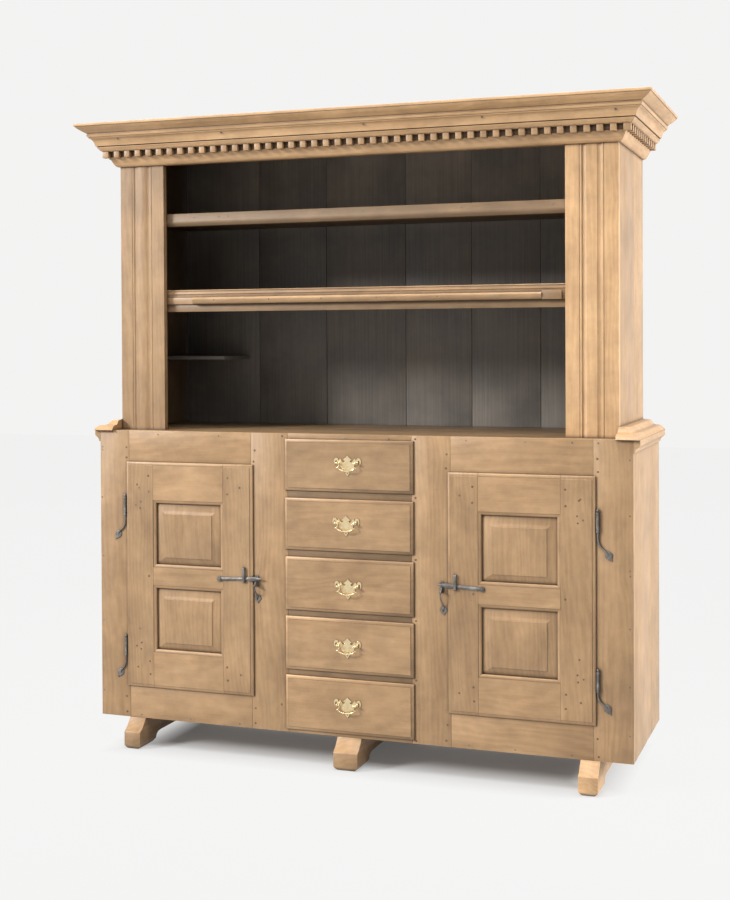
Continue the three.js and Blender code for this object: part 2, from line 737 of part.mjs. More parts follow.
function makePintle(hand, sign, level) {
  const { axis, hinges } = doorPlaces[hand];
  const { bottom, swing, drop } = hinges[level];
  const top = bottom + barrelLength + touchGap;
  const seat = bottom - touchGap;
  const start = seat - collarHeight;
  const finial = finialShares.map(([out, up]) => [finialRadius * out, top + finialHeight * up]);
  const pintle = turned([
    [0, start], [barrelRadius, start], [barrelRadius, seat], [pinRadius, seat], [pinRadius, top], ...finial,
  ], axis, -barrelProud);
  const shank = block(axis - pinRadius, axis + pinRadius, -barrelProud, 0, start, start + collarHeight / 2);
  const tailStart = start + tailRadius;
  const tailBack = barrelProud - tailRadius - touchGap;
  const curve = new THREE.CatmullRomCurve3(tailShares.map(([across, down]) => new THREE.Vector3(
    axis + swing * across, -barrelProud + tailBack * down, tailStart - drop * down)));
  const leaf = alongDepth(leafOutline(axis + swing, tailStart - drop, leafWidth, leafHeight, leafLean),
    -leafThickness, 0);
  add(`hinge_pintle_${hand}_${level}`, pintle.add(shank).add(rod(curve, tailRadius, tailSteps)).add(leaf),
    ironFinish, sign);
}

// Latch: a bar on a pin through the middle rail, in a tall staple, resting on a catch
const latchShares = [[-0.05, 0.3], [0.1, 0.4], [0.6, 0.4], [0.7, 0.5], [0.86, 0.5], [0.94, 0.3], [1, 0.1]];
const bossShares = [[1, 0], [1, 0.62], [0.55, 1], [0, 1]];
const latchFace = -lipProud - touchGap;

// The bar lies a little uphill from its pin to the catch
function barLevel(hand, x) {
  const { inner, latchPivot, latchLevel } = doorPlaces[hand];
  return latchLevel + latchTipRise * (latchPivot - x) / (latchPivot - inner + latchBarBeyondDoor);
}

function makeLatch(hand, sign) {
  const { inner, guideFromEdge, latchPivot: pivot, latchLevel: level } = doorPlaces[hand];
  const length = pivot - inner + latchBarBeyondDoor;
  const edge = (side) => latchShares.map(([along, rise]) => [
    pivot - length * along, barLevel(hand, pivot - length * along) + side * latchBarHeight * rise,
  ]);
  const upper = edge(1);
  const lower = edge(-1);
  const bar = alongDepth([...upper, ...lower.reverse()], latchFace - latchBarThickness, latchFace);
  const pinEnd = -latchPinLength + touchGap + fitGap;
  const boss = turnedForward([
    [0, pinEnd], [latchPinRadius, pinEnd], [latchPinRadius, 0],
    ...bossShares.map(
      ([out, proud]) => [latchBossRadius * out, (latchBarThickness + latchBossProud) * proud]),
  ], pivot, latchFace, level);
  add(`latch_bar_${hand}`, bar.add(boss), ironFinish, sign);

  const x = inner + guideFromEdge;
  const bottom = barLevel(hand, x + guideWidth) - (latchBarHeight + guideClearance) / 2;
  const top = bottom + guideLift;
  const rodBack = latchFace - latchBarThickness - guideClearance;
  const rodFront = rodBack - guideRod;
  add(`latch_guide_${hand}`, alongWidth([
    [-lipProud, bottom - guideRod], [-lipProud, bottom], [rodBack, bottom], [rodBack, top],
    [-lipProud, top], [-lipProud, top + guideRod], [rodFront, top + guideRod], [rodFront, bottom - guideRod],
  ], x, x + guideWidth), ironFinish, sign);
}

// The tail runs from the tip of the beak back to the stile: [across, forward, down]
const catchTailShares = [
  [0, 1, 0], [0, 0.95, 0.15], [0.1, 0.75, 0.38], [0.5, 0.32, 0.62], [0.9, 0.04, 0.82], [1, 0, 1],
];

function makeCatch(hand, sign) {
  const { inner, catchFromEdge, catchLeafAcross, catchTailDrop } = doorPlaces[hand];
  const right = inner - catchFromEdge;
  const left = right - catchWidth;
  const ledge = barLevel(hand, right) - latchBarHeight / 2 - touchGap;
  const nose = ledge - catchRampDrop;
  const foot = nose - catchLipHeight - catchUndercut;
  const noseFront = -catchLedgeDepth - catchRampDepth;
  const bracket = alongWidth([
    [0, foot], [0, ledge + catchPlateRise], [-catchPlate, ledge + catchPlateRise], [-catchPlate, ledge],
    [-catchLedgeDepth, ledge], [noseFront, nose], [noseFront, nose - catchLipHeight], [-catchPlate, foot],
  ], left, right);
  const middle = (left + right) / 2;
  const tailTop = nose - catchLipHeight / 2;
  const tailRest = -tailRadius - touchGap;
  const tailReach = noseFront + tailRadius - tailRest;
  const curve = new THREE.CatmullRomCurve3(catchTailShares.map(
    ([across, forward, down]) => new THREE.Vector3(
      middle + catchLeafAcross * across, tailRest + tailReach * forward, tailTop - catchTailDrop * down)));
  const leafX = middle + catchLeafAcross;
  const leafZ = tailTop - catchTailDrop;
  const leaf = alongDepth(leafOutline(leafX, leafZ, catchLeafWidth, catchLeafHeight, 0), -leafThickness, 0, [[
    [leafX, leafZ - catchLeafHole], [leafX + catchLeafHole, leafZ],
    [leafX, leafZ + catchLeafHole], [leafX - catchLeafHole, leafZ],
  ]]);
  add(`latch_catch_${hand}`, bracket.add(rod(curve, tailRadius, tailSteps)).add(leaf), ironFinish, sign);
}

// Drawers: a lipped front on an open box
function makeDrawer(number, { front, opening }) {
  const half = halfDrawerOpening + lipOverlap;
  const board = lippedBoard({
    x0: drawerMiddle - half, x1: drawerMiddle + half, z0: front.bottom, z1: front.top,
  }, drawerFrontThickness);
  const outside = halfDrawerOpening - fitGap;
  const inside = outside - drawerSideBoard;
  const frontBack = drawerFrontThickness - lipProud;
  const boxBack = backFace - drawerBackRoom;
  const bottom = opening.bottom + touchGap;
  const top = opening.top - fitGap;
  const floor = bottom + drawerBottomInset + drawerBottomBoard;
  const hollow = (y1, z0, z1) => block(drawerMiddle - inside, drawerMiddle + inside, frontBack, y1, z0, z1);
  const box = block(drawerMiddle - outside, drawerMiddle + outside, 0, boxBack, bottom, top)
    .subtract(hollow(boxBack - drawerSideBoard, floor, top + cutOverrun))
    .subtract(hollow(boxBack + cutOverrun, top - drawerBackDrop, top + cutOverrun))
    .subtract(hollow(boxBack - drawerSideBoard, bottom - cutOverrun, bottom + drawerBottomInset));
  const middle = (front.top + front.bottom) / 2 - pullBelowMiddle[number - 1];
  const centre = pullAcross[number - 1];
  let drawer = board.add(box);
  for (const [, sign] of sides) {
    drawer = drawer.subtract(turnedForward([
      [0, -frontBack - cutOverrun], [boltHole, -frontBack - cutOverrun],
      [boltHole, lipProud + cutOverrun], [0, lipProud + cutOverrun],
    ], centre + sign * postSpread / 2, 0, middle + postAboveCentre, tubeSides));
  }
  add(`drawer_${number}`, drawer, woodFinish);
  makePull(number, centre, middle, frontBack);
}

// Pull plate: half of the bat-wing outline, as shares of its width and height, crest to pendant
const plateShares = [
  [0, 0.5], [0.032, 0.441], [0.074, 0.382], [0.152, 0.294], [0.133, 0.253], [0.1, 0.228],
  [0.117, 0.185], [0.17, 0.169], [0.213, 0.228], [0.255, 0.324], [0.296, 0.316], [0.314, 0.25],
  [0.34, 0.316], [0.394, 0.382], [0.457, 0.353], [0.498, 0.235], [0.489, 0.118], [0.453, 0.035],
  [0.443, 0.132], [0.42, 0.228], [0.391, 0.199], [0.394, 0.118], [0.356, 0.056], [0.298, 0.082],
  [0.271, 0.096], [0.257, 0], [0.223, -0.103], [0.149, -0.2], [0.074, -0.241], [0.032, -0.256],
  [0.03, -0.288], [0.078, -0.324], [0.059, -0.39], [0, -0.5],
];
const pendantHoleShares = [[0, -0.405], [0.026, -0.36], [0, -0.322], [-0.026, -0.36]];
const postShares = [[0.75, 0.12], [0.5, 0.3], [0.55, 0.6], [0.95, 0.76], [1, 0.85], [0.6, 0.98], [0, 1]];
const bailShares = [
  [1, 0], [0.86, 0], [0.79, 0.06], [0.77, 0.2], [0.82, 0.36], [0.91, 0.5], [0.91, 0.62], [0.8, 0.78],
  [0.56, 0.9], [0.29, 0.98], [0, 1],
];

function makePull(number, centre, middle, frontBack) {
  const place = ([across, up]) => [centre + pullWidth * across, middle + pullHeight * up];
  const outline = [...plateShares, ...mirrored(plateShares).slice(1, -1)];
  const face = -lipProud;
  let plate = alongDepth(outline.map(place), face - pullPlate, face, [pendantHoleShares.map(place)]);
  const postLevel = middle + postAboveCentre;
  const half = postSpread / 2;
  const behind = frontBack + lipProud;
  for (const [, sign] of sides) {
    const post = turnedForward([
      [0, -behind - nutThickness], [nutRadius, -behind - nutThickness], [nutRadius, -behind],
      [boltRadius, -behind], [boltRadius, pullPlate / 2],
      ...postShares.map(([out, along]) => [postRadius * out, (pullPlate + postLength) * along]),
    ], centre + sign * half, face, postLevel, tubeSides);
    const socket = rod(new THREE.LineCurve3(
      new THREE.Vector3(centre + sign * (half - postRadius - cutOverrun), bailPlane, postLevel),
      new THREE.Vector3(centre + sign * (half - postRadius + bailHold + touchGap), bailPlane, postLevel),
    ), bailSocket, 1);
    plate = plate.add(post).subtract(socket);
  }
  add(`pull_plate_${number}`, plate, brassFinish);

  const end = half - postRadius + bailHold;
  const bend = ([across, drop]) => new THREE.Vector3(
    centre + end * across, bailPlane, postLevel - bailDrop * drop);
  const rightArm = bailShares.map(bend);
  const leftArm = bailShares.slice(0, -1).map(([across, drop]) => bend([-across, drop]));
  const curve = new THREE.CatmullRomCurve3([...leftArm, ...rightArm.reverse()], false, 'centripetal');
  add(`bail_${number}`, rod(curve, bailRadius, bailSteps), brassFinish);
}

makeCase();
makeFaceFrame();
for (const [place, size] of Object.entries(footSizes)) makeFoot(`foot_${place}`, size);
makeEndMouldings();
makeHutch();
makeHutchShelves();
makeSpoonRack();
makeCornice();
for (const [hand, sign] of sides) {
  makeDoor(hand, sign);
  for (const level of ['upper', 'lower']) {
    makeHingeStrap(hand, sign, level);
    makePintle(hand, sign, level);
  }
  makeLatch(hand, sign);
  makeCatch(hand, sign);
}
drawerPlaces.forEach((place, index) => makeDrawer(index + 1, place));

const part = new THREE.Group();
part.add(dresser);

export default part;
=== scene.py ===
# Kitchen dresser with hutch: the wood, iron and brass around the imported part, with camera and lights.
# Metres, +X right, +Y back, +Z up. Depths in the tables are counted from the case's front face.
import json
import math
import random

import bmesh
import bpy
from mathutils import Matrix, Vector


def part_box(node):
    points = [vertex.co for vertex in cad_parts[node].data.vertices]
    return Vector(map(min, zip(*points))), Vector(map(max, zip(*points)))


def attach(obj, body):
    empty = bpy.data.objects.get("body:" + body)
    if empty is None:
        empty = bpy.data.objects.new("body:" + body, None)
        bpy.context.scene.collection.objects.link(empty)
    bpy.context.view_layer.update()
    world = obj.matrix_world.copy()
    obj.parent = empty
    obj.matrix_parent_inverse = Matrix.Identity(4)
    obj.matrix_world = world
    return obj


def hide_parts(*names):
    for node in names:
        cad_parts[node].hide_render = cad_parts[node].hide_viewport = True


with open("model.json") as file:
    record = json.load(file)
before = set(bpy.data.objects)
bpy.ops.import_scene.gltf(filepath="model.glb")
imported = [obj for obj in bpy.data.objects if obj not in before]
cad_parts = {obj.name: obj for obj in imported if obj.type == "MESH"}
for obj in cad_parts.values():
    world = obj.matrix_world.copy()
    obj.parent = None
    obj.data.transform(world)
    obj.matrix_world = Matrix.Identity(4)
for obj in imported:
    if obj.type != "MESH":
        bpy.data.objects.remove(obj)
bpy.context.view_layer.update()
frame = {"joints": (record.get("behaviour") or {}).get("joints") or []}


print("frame loaded")

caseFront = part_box("face_frame")[0].y
grainRandom = random.Random(1786)
hands = {"left": -1, "right": 1}


def depth(value):
    return caseFront + value


# Camera, solved from the photograph's straight edges
view = {
    "place": (1.6181, -4.5854, 1.4011),
    "heading": 19.77,
    "pitch": -0.85,
    "roll": -0.28,
    "lens": 56.77,
    "sensor": 36,
    "shiftY": -0.0982,
    "nearest": 0.05,
}


def addCamera():
    camera = bpy.data.objects.new("camera", bpy.data.cameras.new("camera"))
    bpy.context.scene.collection.objects.link(camera)
    heading, pitch, roll = (math.radians(view[key]) for key in ("heading", "pitch", "roll"))
    level = Vector((math.cos(heading), math.sin(heading), 0))
    forward = Vector((-math.sin(heading), math.cos(heading), 0))
    ahead = forward * math.cos(pitch) + Vector((0, 0, math.sin(pitch)))
    upward = level.cross(ahead)
    right = level * math.cos(roll) + upward * math.sin(roll)
    up = upward * math.cos(roll) - level * math.sin(roll)
    turn = Matrix((right, up, -ahead)).transposed().to_4x4()
    camera.matrix_world = Matrix.Translation(view["place"]) @ turn
    camera.data.lens = view["lens"]
    camera.data.sensor_width = view["sensor"]
    camera.data.shift_y = view["shiftY"]
    camera.data.clip_start = view["nearest"]
    bpy.context.scene.camera = camera


addCamera()


# Materials
class NodeDesk:
    # short words for building the nodes of a material or a world
    def __init__(self, holder):
        holder.use_nodes = True
        self.holder = holder
        self.tree = holder.node_tree
        self.shader = self.tree.nodes.get("Principled BSDF") or self.tree.nodes["Background"]
        self.column = -1600

    def put(self, socket, value):
        if isinstance(value, bpy.types.NodeSocket):
            self.tree.links.new(value, socket)
        else:
            socket.default_value = (*value, 1) if socket.type == "RGBA" else value

    def node(self, kind, inputs, **values):
        made = self.tree.nodes.new("ShaderNode" + kind)
        made.location = (self.column, 0)
        self.column += 90
        for key, value in values.items():
            setattr(made, key, value)
        for key, value in inputs.items():
            self.put(made.inputs[key], value)
        return made

    def attribute(self, name, output):
        return self.node("Attribute", {}, attribute_name=name).outputs[output]

    def coordinates(self, kind):
        return self.node("TexCoord", {}).outputs[kind]

    def parted(self, vector):
        return self.node("SeparateXYZ", {0: vector}).outputs

    def mapped(self, vector, scale, turn=(0, 0, 0)):
        return self.node("Mapping", {"Vector": vector, "Scale": scale, "Rotation": turn}).outputs["Vector"]

    def noise(self, vector, scale, detail=3, rough=0.5, distortion=0, output="Fac"):
        # a scale of three numbers stretches the pattern
        if isinstance(scale, tuple):
            vector, scale = self.mapped(vector, scale), 1.0
        keys = ("Vector", "Scale", "Detail", "Roughness", "Distortion")
        inputs = dict(zip(keys, (vector, scale, detail, rough, distortion)))
        return self.node("TexNoise", inputs).outputs[output]

    def math(self, operation, a, b=0.0):
        return self.node("Math", {0: a, 1: b}, operation=operation).outputs[0]

    def total(self, *parts, base=0.0):
        # the base and each value times its weight
        for value, weight in parts:
            base = self.math("ADD", self.math("MULTIPLY", value, weight), base)
        return base

    def remap(self, value, low, high, toLow=0.0, toHigh=1.0):
        keys = ("Value", "From Min", "From Max", "To Min", "To Max")
        return self.node("MapRange", dict(zip(keys, (value, low, high, toLow, toHigh)))).outputs["Result"]

    def ramp(self, value, colours):
        made = self.node("ValToRGB", {"Fac": value})
        elements = made.color_ramp.elements
        while len(elements) < len(colours):
            elements.new(0.5)
        for i, colour in enumerate(colours):
            elements[i].position = i / (len(colours) - 1)
            elements[i].color = (*colour, 1)
        return made.outputs["Color"]

    def blend(self, kind, share, a, b):
        return self.node("Mix", {0: share, 6: a, 7: b}, data_type="RGBA", blend_type=kind).outputs[2]

    def tinted(self, colour, share, *reach):
        # the colour times a grey share, which is remapped first where a reach is given
        share = self.remap(share, *reach) if reach else share
        grey = self.node("CombineColor", {channel: share for channel in ("Red", "Green", "Blue")})
        return self.blend("MULTIPLY", 1.0, colour, grey.outputs["Color"])

    def crevices(self, distance, low, high):
        # 1 in tight corners, 0 out in the open
        shut = self.node("AmbientOcclusion", {"Distance": distance}, samples=6, only_local=False)
        return self.math("SUBTRACT", 1.0, self.remap(shut.outputs["AO"], low, high))

    def seen(self):
        # 1 for what the camera and the metal see
        rays = self.node("LightPath", {}).outputs
        return self.math("MAXIMUM", rays["Is Camera Ray"], rays["Is Glossy Ray"])

    def giveWay(self, share, other, output):
        # the main shader gives way to the other by a share
        mix = self.node("MixShader", {0: share, 1: self.shader.outputs[0], 2: other.outputs[0]})
        self.put(self.tree.nodes[output].inputs["Surface"], mix.outputs[0])

    def bump(self, height, strength, distance):
        inputs = {"Height": height, "Strength": strength, "Distance": distance}
        return self.node("Bump", inputs).outputs["Normal"]

    def finish(self, colour, roughness, normal=None):
        self.put(self.shader.inputs["Base Color"], colour)
        self.put(self.shader.inputs["Roughness"], roughness)
        if normal is not None:
            self.put(self.shader.inputs["Normal"], normal)
        return self.holder


wood = {
    "pale": (0.415, 0.268, 0.142),
    "middle": (0.325, 0.198, 0.098),
    "dark": (0.205, 0.114, 0.052),
    "dirtAndShade": (0.045, 0.026, 0.014),
    "ringScale": 21.0,
    "ringTilt": (0.0, 0.03, 0.045),
    "ringDrift": (0.0, 0.11, 0.11),
    "ringWeight": 0.09,
    # layers of the grain: stretch, detail, roughness and distortion, and then the weight
    "layers": {
        "figure": (((3.2, 13, 13), 5, 0.62, 0.6), 0.66),
        "broad": (((1.5, 34, 34), 4, 0.6), 0.20),
        "streak": (((6, 260, 260), 4, 0.6), 0.24),
        "fibre": (((16, 950, 950), 3, 0.6), 0.14),
    },
    "grainReach": (-0.34, 0.36),
    "dirtAndShadeReach": 0.012,
    "upwardLight": 1.4,  # painted light: upward faces are paler by this much, standing in for the light from above
}


def makeWood(name, shade=1.0, polish=0.42):
    desk = NodeDesk(bpy.data.materials.new(name))
    place, tone = desk.attribute("grainPlace", "Vector"), desk.attribute("boardTone", "Fac")
    drift = desk.noise(place, (1.6, 7, 7), output="Color")
    bent = desk.node("VectorMath", {0: drift, 1: wood["ringDrift"], 2: place}, operation="MULTIPLY_ADD")
    rings = desk.node("TexWave", {
        "Vector": desk.mapped(bent.outputs[0], (1, 1, 1), wood["ringTilt"]),
        "Scale": wood["ringScale"], "Distortion": 2.0, "Detail": 3, "Detail Scale": 0.5,
    }, wave_type="RINGS", rings_direction="X", wave_profile="SIN")
    layers = {key: desk.noise(place, *pattern) for key, (pattern, _) in wood["layers"].items()}
    parts = [(rings.outputs["Fac"], wood["ringWeight"])]
    parts += [(layers[key], weight) for key, (_, weight) in wood["layers"].items()]
    grain = desk.total(*parts, base=-0.5 * sum(weight for _, weight in parts))
    cloud = desk.noise(place, 5.5, 4, 0.6)
    blotch = desk.noise(desk.mapped(place, (0.7, 1, 1)), 26.0, 4, 0.62)

    colour = desk.ramp(desk.remap(grain, *wood["grainReach"]),
                       [[c * shade for c in wood[key]] for key in ("pale", "middle", "dark")])
    colour = desk.tinted(colour, cloud, 0.25, 0.75, 0.80, 1.18)
    colour = desk.tinted(colour, blotch, 0.25, 0.75, 0.88, 1.12)
    # painted light: faces turned upward are paler, as if lit from above
    colour = desk.tinted(colour, desk.parted(desk.coordinates("Normal"))["Z"], 0.1, 0.8, 1.0, wood["upwardLight"])
    colour = desk.tinted(colour, tone)
    speck = desk.math("MULTIPLY", desk.remap(desk.noise(place, 210.0, 2), 0.70, 0.76, 0.0, 0.5),
                      desk.remap(layers["figure"], 0.45, 0.6))
    # dirt in patches and specks, and painted shade darkening the corners, seams and recesses
    grimeAndShade = desk.math("MULTIPLY", desk.remap(cloud, 0.3, 0.7, 0.78, 1.0),
                      desk.crevices(wood["dirtAndShadeReach"], 0.42, 0.95))
    grimeAndShade = desk.math("MAXIMUM", grimeAndShade, speck)
    colour = desk.blend("MIX", grimeAndShade, colour, wood["dirtAndShade"])

    dent = desk.noise(place, (30, 60, 60), 2)
    roughness = desk.total((layers["streak"], 0.16), (grimeAndShade, 0.2), base=polish - 0.06)
    height = desk.total((layers["streak"], 0.5), (layers["fibre"], 0.25), (dent, 0.8))
    return desk.finish(colour, roughness, desk.bump(height, 0.3, 0.0008))


paint = {
    "coat": (0.120, 0.108, 0.096),
    "rubbed": (0.205, 0.180, 0.150),
    "bare": (0.25, 0.18, 0.12),
    "raw": (0.34, 0.225, 0.130),  # the backs of the boards were never painted
    "paler": (1.78, 1.92, 1.0, 2.1),  # painted light: the upper back is paler between these two heights, from and to this share
}


def makePaint(name):
    desk = NodeDesk(bpy.data.materials.new(name))
    place, tone = desk.attribute("grainPlace", "Vector"), desk.attribute("boardTone", "Fac")
    brush = desk.noise(place, (2.5, 150, 150), 4, 0.6)
    cloud = desk.noise(place, 5.0, 4, 0.6)
    worn = desk.noise(place, (9, 60, 60), 5, 0.65)
    colour = desk.blend("MIX", desk.remap(cloud, 0.35, 0.75), paint["coat"], paint["rubbed"])
    colour = desk.tinted(colour, brush, 0.25, 0.75, 0.8, 1.2)
    colour = desk.tinted(colour, tone)
    # painted light on the upper back, under the cornice
    colour = desk.tinted(colour, desk.parted(desk.coordinates("Object"))["Z"], *paint["paler"])
    colour = desk.blend("MIX", desk.remap(worn, 0.70, 0.78, 0.0, 0.55), colour, paint["bare"])
    raw = desk.tinted(paint["raw"], brush, 0.25, 0.75, 0.72, 1.25)
    raw = desk.tinted(raw, cloud, 0.3, 0.75, 0.8, 1.15)
    rear = desk.remap(desk.parted(desk.coordinates("Normal"))["Y"], 0.6, 0.8)
    colour = desk.blend("MIX", rear, colour, desk.tinted(raw, tone))
    return desk.finish(colour, desk.remap(cloud, 0.3, 0.7, 0.46, 0.66), desk.bump(brush, 0.3, 0.0006))


iron = {
    "plain": (0.125, 0.120, 0.114),
    "worn": (0.26, 0.25, 0.237),
    "rust": (0.10, 0.06, 0.036),
    "dirtAndShade": (0.02, 0.017, 0.013),
    "dirtAndShadeReach": 0.005,
    "metallic": 0.65,
}


def makeIron(name):
    desk = NodeDesk(bpy.data.materials.new(name))
    place = desk.coordinates("Object")
    hammer = desk.noise(place, 120.0, 2)
    cloud = desk.noise(place, 45.0, 4, 0.6)
    speck = desk.noise(place, 700.0, 3, 0.6)
    rusty = desk.math("MULTIPLY", desk.remap(cloud, 0.62, 0.52), desk.remap(speck, 0.46, 0.66))
    # grime and painted shade: darker in the corners and recesses of the iron
    dirtyAndShaded = desk.math("MULTIPLY", desk.crevices(iron["dirtAndShadeReach"], 0.35, 0.85), 0.65)
    colour = desk.blend("MIX", desk.remap(cloud, 0.40, 0.72), iron["plain"], iron["worn"])
    colour = desk.blend("MIX", desk.math("MULTIPLY", rusty, 0.6), colour, iron["rust"])
    colour = desk.blend("MIX", dirtyAndShaded, colour, iron["dirtAndShade"])
    desk.put(desk.shader.inputs["Metallic"], desk.total((rusty, -0.4), base=iron["metallic"]))
    roughness = desk.total((rusty, 0.25), base=desk.remap(speck, 0.3, 0.7, 0.44, 0.54))
    return desk.finish(colour, roughness, desk.bump(hammer, 0.35, 0.0009))


brass = {
    "bright": (0.82, 0.664, 0.405),
    "dull": (0.56, 0.405, 0.197),
    "dark": (0.07, 0.045, 0.02),
    "darkReach": 0.0035,
}


def makeBrass(name):
    desk = NodeDesk(bpy.data.materials.new(name))
    place = desk.coordinates("Object")
    cloud = desk.noise(place, 75.0, 4, 0.6)
    scratch = desk.noise(place, (90, 90, 900), 4, 0.6)
    dark = desk.math("MULTIPLY", desk.crevices(brass["darkReach"], 0.3, 0.8), 0.75)
    colour = desk.blend("MIX", desk.remap(cloud, 0.42, 0.8), brass["bright"], brass["dull"])
    colour = desk.blend("MIX", dark, colour, brass["dark"])
    desk.shader.inputs["Metallic"].default_value = 1.0
    roughness = desk.total((scratch, 0.08), base=desk.remap(cloud, 0.3, 0.7, 0.2, 0.34))
    return desk.finish(colour, roughness, desk.bump(cloud, 0.15, 0.0004))


finishes = {
    "waxed_wood": makeWood("waxedWood"),
    "peg_wood": makeWood("pegWood", 0.42, 0.5),
    "box_wood": makeWood("boxWood", 1.12, 0.62),
    "painted_boards": makePaint("darkPaint"),
    "iron": makeIron("forgedIron"),
    "brass": makeBrass("agedBrass"),
}
print("materials made")


# Mesh helpers
grainOrder = {"x": (0, 1, 2), "y": (1, 2, 0), "z": (2, 0, 1)}
log = {"along": (0, 20), "aside": (0.03, 0.22), "deep": (0.04, 0.2), "tones": (0.9, 1.08)}


def pile():
    bm = bmesh.new()
    bm.verts.layers.float_vector.new("grainPlace")
    bm.verts.layers.float.new("boardTone")
    return bm


def stack(target, part, grain="z", tone=None):
    # adds one board, with its own place in the log and its own tone
    place = part.verts.layers.float_vector.new("grainPlace")
    toneLayer = part.verts.layers.float.new("boardTone")
    side = grainRandom.choice((-1, 1))
    along, aside, deep = (grainRandom.uniform(*log[key]) for key in ("along", "aside", "deep"))
    shift = Vector((along, side * aside, deep))
    middle = sum((v.co for v in part.verts), Vector()) / max(1, len(part.verts))
    if tone is None:
        tone = grainRandom.uniform(*log["tones"])
    for v in part.verts:
        local = v.co - middle
        v[place] = Vector([local[i] for i in grainOrder[grain]]) + shift
        v[toneLayer] = tone
    spare = bpy.data.meshes.new("spare")
    part.to_mesh(spare)
    target.from_mesh(spare)
    bpy.data.meshes.remove(spare)
    part.free()


def shadeWhere(bm, test, share):
    # darker or paler where the place of a corner meets the test
    toneLayer = bm.verts.layers.float["boardTone"]
    for v in bm.verts:
        if test(v.co):
            v[toneLayer] *= share


def settle(name, bm, finish, body, replaces=(), corner=32):
    bmesh.ops.recalc_face_normals(bm, faces=bm.faces[:])
    mesh = bpy.data.meshes.new(name)
    bm.to_mesh(mesh)
    bm.free()
    mesh.shade_smooth()
    mesh.set_sharp_from_angle(angle=math.radians(corner))
    mesh.materials.append(finishes[finish])
    piece = bpy.data.objects.new(name, mesh)
    bpy.context.scene.collection.objects.link(piece)
    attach(piece, body)
    if replaces:
        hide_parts(*replaces)
    return piece


def bevel(bm, edges, ease, steps, shape):
    bmesh.ops.bevel(bm, geom=edges, offset=ease, segments=steps, profile=shape, affect="EDGES",
                    clamp_overlap=True)
    return bm


def soften(bm, ease, steps=2, angle=30):
    sharp = [e for e in bm.edges if e.is_manifold and e.calc_face_angle(0) > math.radians(angle)]
    return bevel(bm, sharp, ease, steps, 0.55)


def softenRim(bm, ease, test):
    # only the edges whose two ends meet the test
    return bevel(bm, [e for e in bm.edges if all(test(v.co) for v in e.verts)], ease, 2, 0.5)


def cut(bm, place, away, drop=True):
    # along a plane; what lies away from it is dropped and the cut closed
    bmesh.ops.bisect_plane(bm, geom=bm.verts[:] + bm.edges[:] + bm.faces[:], dist=1e-6,
                           plane_co=place, plane_no=away, clear_outer=drop)
    if drop:
        bmesh.ops.holes_fill(bm, edges=[e for e in bm.edges if e.is_boundary], sides=0)


def board(low, high, ease=0.0009):
    low, high = Vector(low), Vector(high)
    bm = bmesh.new()
    place = Matrix.Translation((low + high) / 2) @ Matrix.Diagonal((*(high - low), 1))
    bmesh.ops.create_cube(bm, size=1.0, matrix=place)
    return soften(bm, min(ease, 0.3 * min(high - low)))


def splitBoards(bm, low, high, axis, count, grain, gap=0.0006, shares=None, tone=None):
    # one wide panel as several boards side by side
    edges = shares or [i / count for i in range(count + 1)]
    for a, b in zip(edges, edges[1:]):
        boardLow, boardHigh = Vector(low), Vector(high)
        boardLow[axis] = low[axis] + (high[axis] - low[axis]) * a + (gap / 2 if a > 0 else 0)
        boardHigh[axis] = low[axis] + (high[axis] - low[axis]) * b - (gap / 2 if b < 1 else 0)
        stack(bm, board(boardLow, boardHigh), grain, tone)


def ringLoft(rings):
    # closed skin through rings of equal length, each a list of points
    bm = bmesh.new()
    rows = [[bm.verts.new(point) for point in ring] for ring in rings]
    bm.faces.new(rows[0])
    bm.faces.new(rows[-1])
    count = len(rows[0])
    for low, high in zip(rows, rows[1:]):
        for i in range(count):
            j = (i + 1) % count
            bm.faces.new((low[i], low[j], high[j], high[i]))
    bmesh.ops.recalc_face_normals(bm, faces=bm.faces[:])
    return bm


def prism(outline, axis, start, end):
    # an outline in the other two directions, drawn out along x, y or z
    spot = "xyz".index(axis)
    return ringLoft([[(*point[:spot], along, *point[spot:]) for point in outline] for along in (start, end)])


def frontRings(x0, x1, z0, z1, levels):
    # levels: (y, left, right, bottom, top), the last four pulled in from the edges
    return [[(x0 + l, y, z0 + b), (x1 - r, y, z0 + b), (x1 - r, y, z1 - t), (x0 + l, y, z1 - t)]
            for y, l, r, b, t in levels]


def quarter(steps):
    angles = [0.5 * math.pi * i / steps for i in range(1, steps + 1)]
    return [(math.sin(angle), 1 - math.cos(angle)) for angle in angles]


def lathe(profile, origin, aim, sides=24):
    # profile of (radius, distance along aim), from end to end
    aim = Vector(aim).normalized()
    turn = aim.to_track_quat("Z", "Y").to_matrix()
    bm = bmesh.new()
    rows = []
    for radius, along in profile:
        centre = Vector(origin) + aim * along
        if radius < 1e-6:
            rows.append([bm.verts.new(centre)])
        else:
            rows.append([bm.verts.new(centre + turn @ Vector((radius * math.cos(a), radius * math.sin(a), 0)))
                         for a in (2 * math.pi * i / sides for i in range(sides))])
    for low, high in zip(rows, rows[1:]):
        for i in range(sides):
            j = (i + 1) % sides
            ring = [low[i % len(low)], low[j % len(low)], high[j % len(high)], high[i % len(high)]]
            corners = list(dict.fromkeys(ring))
            if len(corners) > 2:
                bm.faces.new(corners)
    for row in (rows[0], rows[-1]):
        if len(row) > 2:
            bm.faces.new(row)
    bmesh.ops.recalc_face_normals(bm, faces=bm.faces[:])
    return bm


